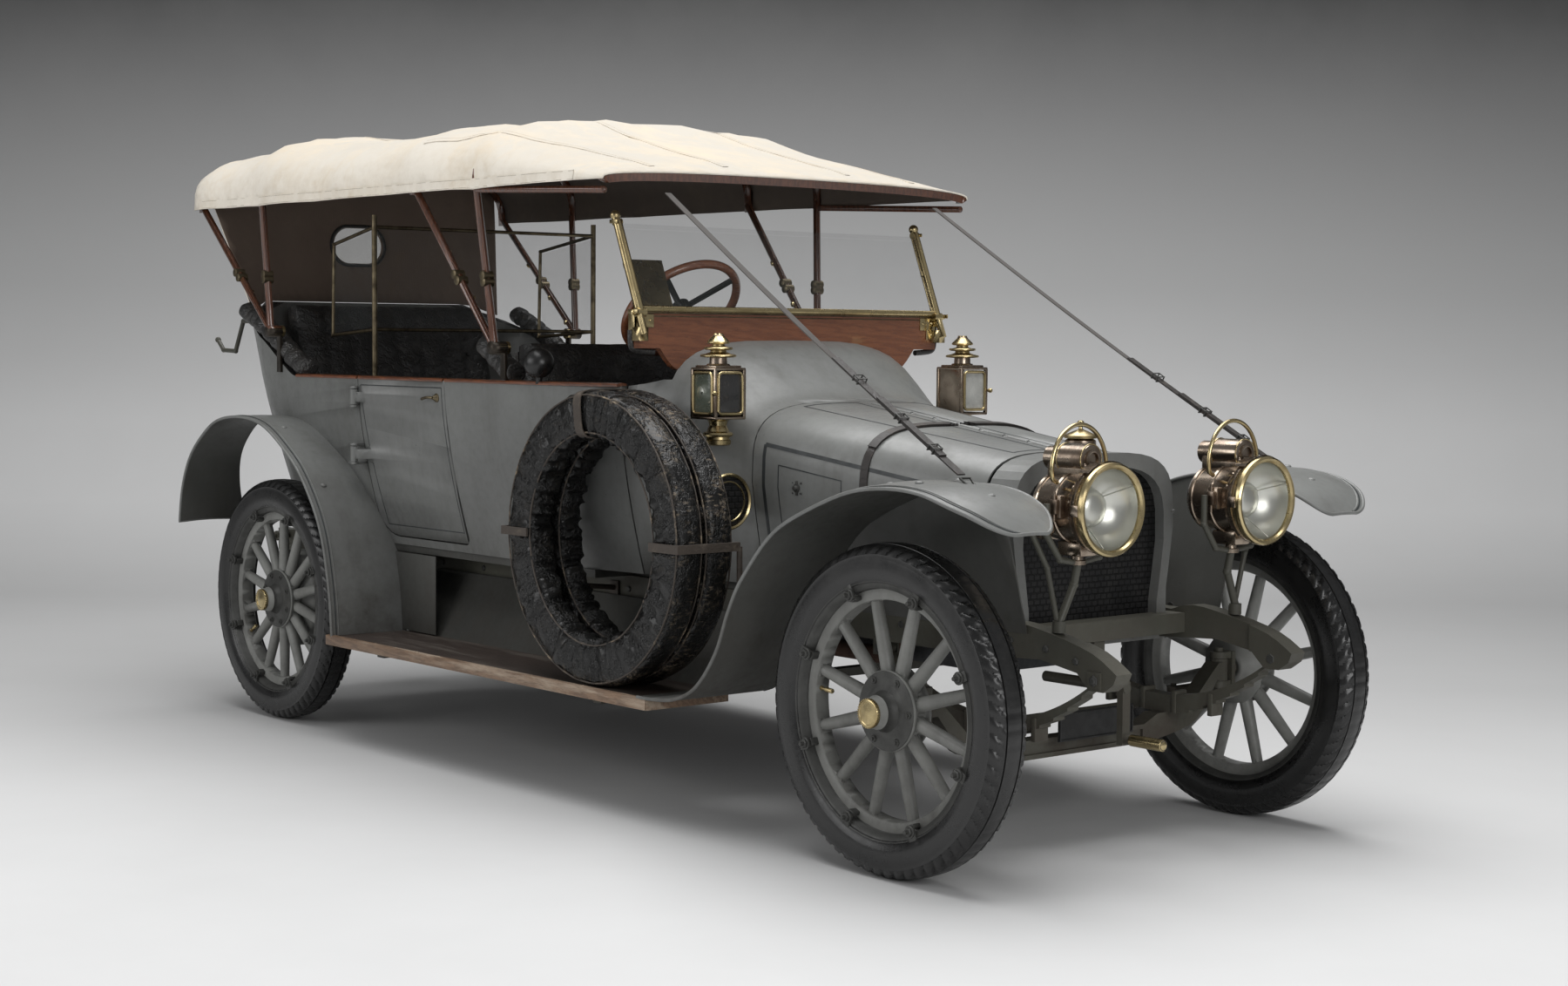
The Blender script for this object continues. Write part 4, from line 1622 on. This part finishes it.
def crank_sleeve():
    """A brass sleeve on the grip of the starting crank."""
    grip = [v.co.copy() for v in NODES["starting_crank"].data.vertices if v.co.x > car(3.36, 0, 0).x]
    low = Vector([min(p[i] for p in grip) for i in range(3)])
    high = Vector([max(p[i] for p in grip) for i in range(3)])
    mid, r = (low + high) / 2, (high.y - low.y) / 2
    x = car(3.285, 0, 0).x
    long = high.x - x
    sleeve = turned([(0, r * 0.9), (0.001, r + 0.0022), (long - 0.010, r + 0.0028), (long - 0.002, r + 0.002),
                     (long + 0.002, r * 0.6)], (x, mid.y, mid.z), (1, 0, 0), 24)
    finish(sleeve, "crank_handle", "brass", "car_body")


def front_irons():
    """Bolts on the dumb irons and brackets, nuts on the springs and the plate's frame."""
    bits = []
    tree = surface("chassis_frame")
    for x, z in ((3.10, 0.60), (3.20, 0.57), (3.32, 0.56), (3.42, 0.54), (3.483, 0.50), (2.95, 0.57),
                 (2.80, 0.57), (1.95, 0.56), (1.60, 0.56), (1.20, 0.56), (0.80, 0.56), (0.55, 0.56)):
        for s in SIDES:
            found = lay(tree, [car(x, s * 0.50, z)], (0, -s, 0), 0)
            if found and abs(found[0][0].y) > 0.3:
                at, normal = found[0]
                bits.append(turned([(-0.001, 0.009), (0.003, 0.009), (0.0055, 0.006)], at, normal, 14))
    eye = []
    for x in (3.483, 2.717):
        for s in SIDES:
            for side in (-1, 1):
                at = car(x, s * 0.332 + side * 0.0235, 0.5)
                eye.append(hexagon(at, (0, side, 0), 0.014, 0.009))
                eye.append(turned([(0, 0.018), (0.002, 0.018)], at, (0, side, 0), 18))
    clips = []
    for x, z in ((3.28, 0.345), (2.92, 0.345), (3.045, 0.338), (3.155, 0.338)):
        for s in SIDES:
            clips.append(slab(car(x - 0.008, s * 0.332 - 0.024, z - 0.020),
                              car(x + 0.008, s * 0.332 + 0.024, z + 0.040), 0.003))
    finish(join(bits + eye), "frame_bolts", "wheel_iron", "car_body", "chassis_paint")
    finish(join(clips), "spring_clips", "chassis_paint", "car_body")
    low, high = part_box("number_plate")
    y0, y1, z0, z1 = low.y + 0.004, high.y - 0.004, low.z + 0.004, high.z - 0.004
    edge = [Vector((high.x + 0.001, y, z)) for y, z in ((y0, z0), (y1, z0), (y1, z1), (y0, z1))]
    finish(wire(edge, 0.003, True, 2), "plate_rim", "plate_black", "car_body")


def radiator_bolts():
    """Three bolt heads down each side of the radiator shell's front."""
    tree = surface("radiator_shell")
    made = []
    for s in SIDES:
        spots = [car(3.3, s * 0.30, z) for z in (0.66, 0.76, 0.86)]
        for at, normal in lay(tree, spots, (-1, 0, 0), 0):
            made.append(turned([(-0.001, 0.006), (0.002, 0.006), (0.004, 0.004)], at, normal, 12))
    finish(join(made), "radiator_bolts", "body_paint", "car_body")


def door_fittings():
    """A lever handle on each door."""
    for body, s, x, name in (("door_rear_right", -1, 0.905, "rear_door_right"),
                             ("door_rear_left", 1, 0.905, "rear_door_left"),
                             ("door_front_left", 1, 1.745, "front_door_left")):
        at = lay(surface(name), [car(x, s * 0.95, 1.118)], (0, -s, 0), 0)[0][0]
        rose = turned([(-0.001, 0.014), (0.002, 0.014), (0.004, 0.011), (0.014, 0.006), (0.016, 0.004)], at,
                      (0, s, 0), 24)
        bends = ((0, 0.015, 0), (-0.020, 0.021, 0.001), (-0.045, 0.020, -0.002), (-0.062, 0.017, -0.005))
        lever = wire(curve([at + Vector((dx, s * dy, dz)) for dx, dy, dz in bends], 5), 0.0045)
        finish(join([rose, lever]), name + "_handle", "dull_brass", body, "brass")


def feet_and_screens():
    """Brass hinges where the hood's sticks stand on the body, and an iron sheet inside each rear wing."""
    feet = []
    for x, z in ((1.300, 1.277), (-0.110, 1.325)):
        for s in SIDES:
            feet.append(turned([(-0.022, 0.012), (-0.020, 0.020), (0.020, 0.020), (0.022, 0.012)],
                               car(x, s * 0.612, z), (0, 1, 0), 24))
            feet.append(turned([(0.022, 0.009), (0.026, 0.013), (0.031, 0.008)], car(x, s * 0.612, z),
                               (0, s, 0), 16))
    finish(join(feet), "stick_feet", "brass", "car_body")
    screens = [slab(car(0.44, s * 0.500 - 0.002, 0.345), car(0.74, s * 0.500 + 0.002, 0.600), 0.001)
               for s in SIDES]
    finish(join(screens), "wing_screens", "valance_paint", "car_body", "chassis_paint")


set_view()
build_room()
light_room()
dress_frame()
hood_canopy()
hood_curtain()
wheels()
spare_tyres()
headlamps()
side_lamps()
horn()
screen_fittings()
seats()
leather_rolls()
wings()
coach_lines()
bonnet_strap()
belt_rails()
running_boards()
steering()
hood_sticks()
hood_strap_pieces()
filler_cap()
crank_sleeve()
front_irons()
radiator_bolts()
door_fittings()
feet_and_screens()
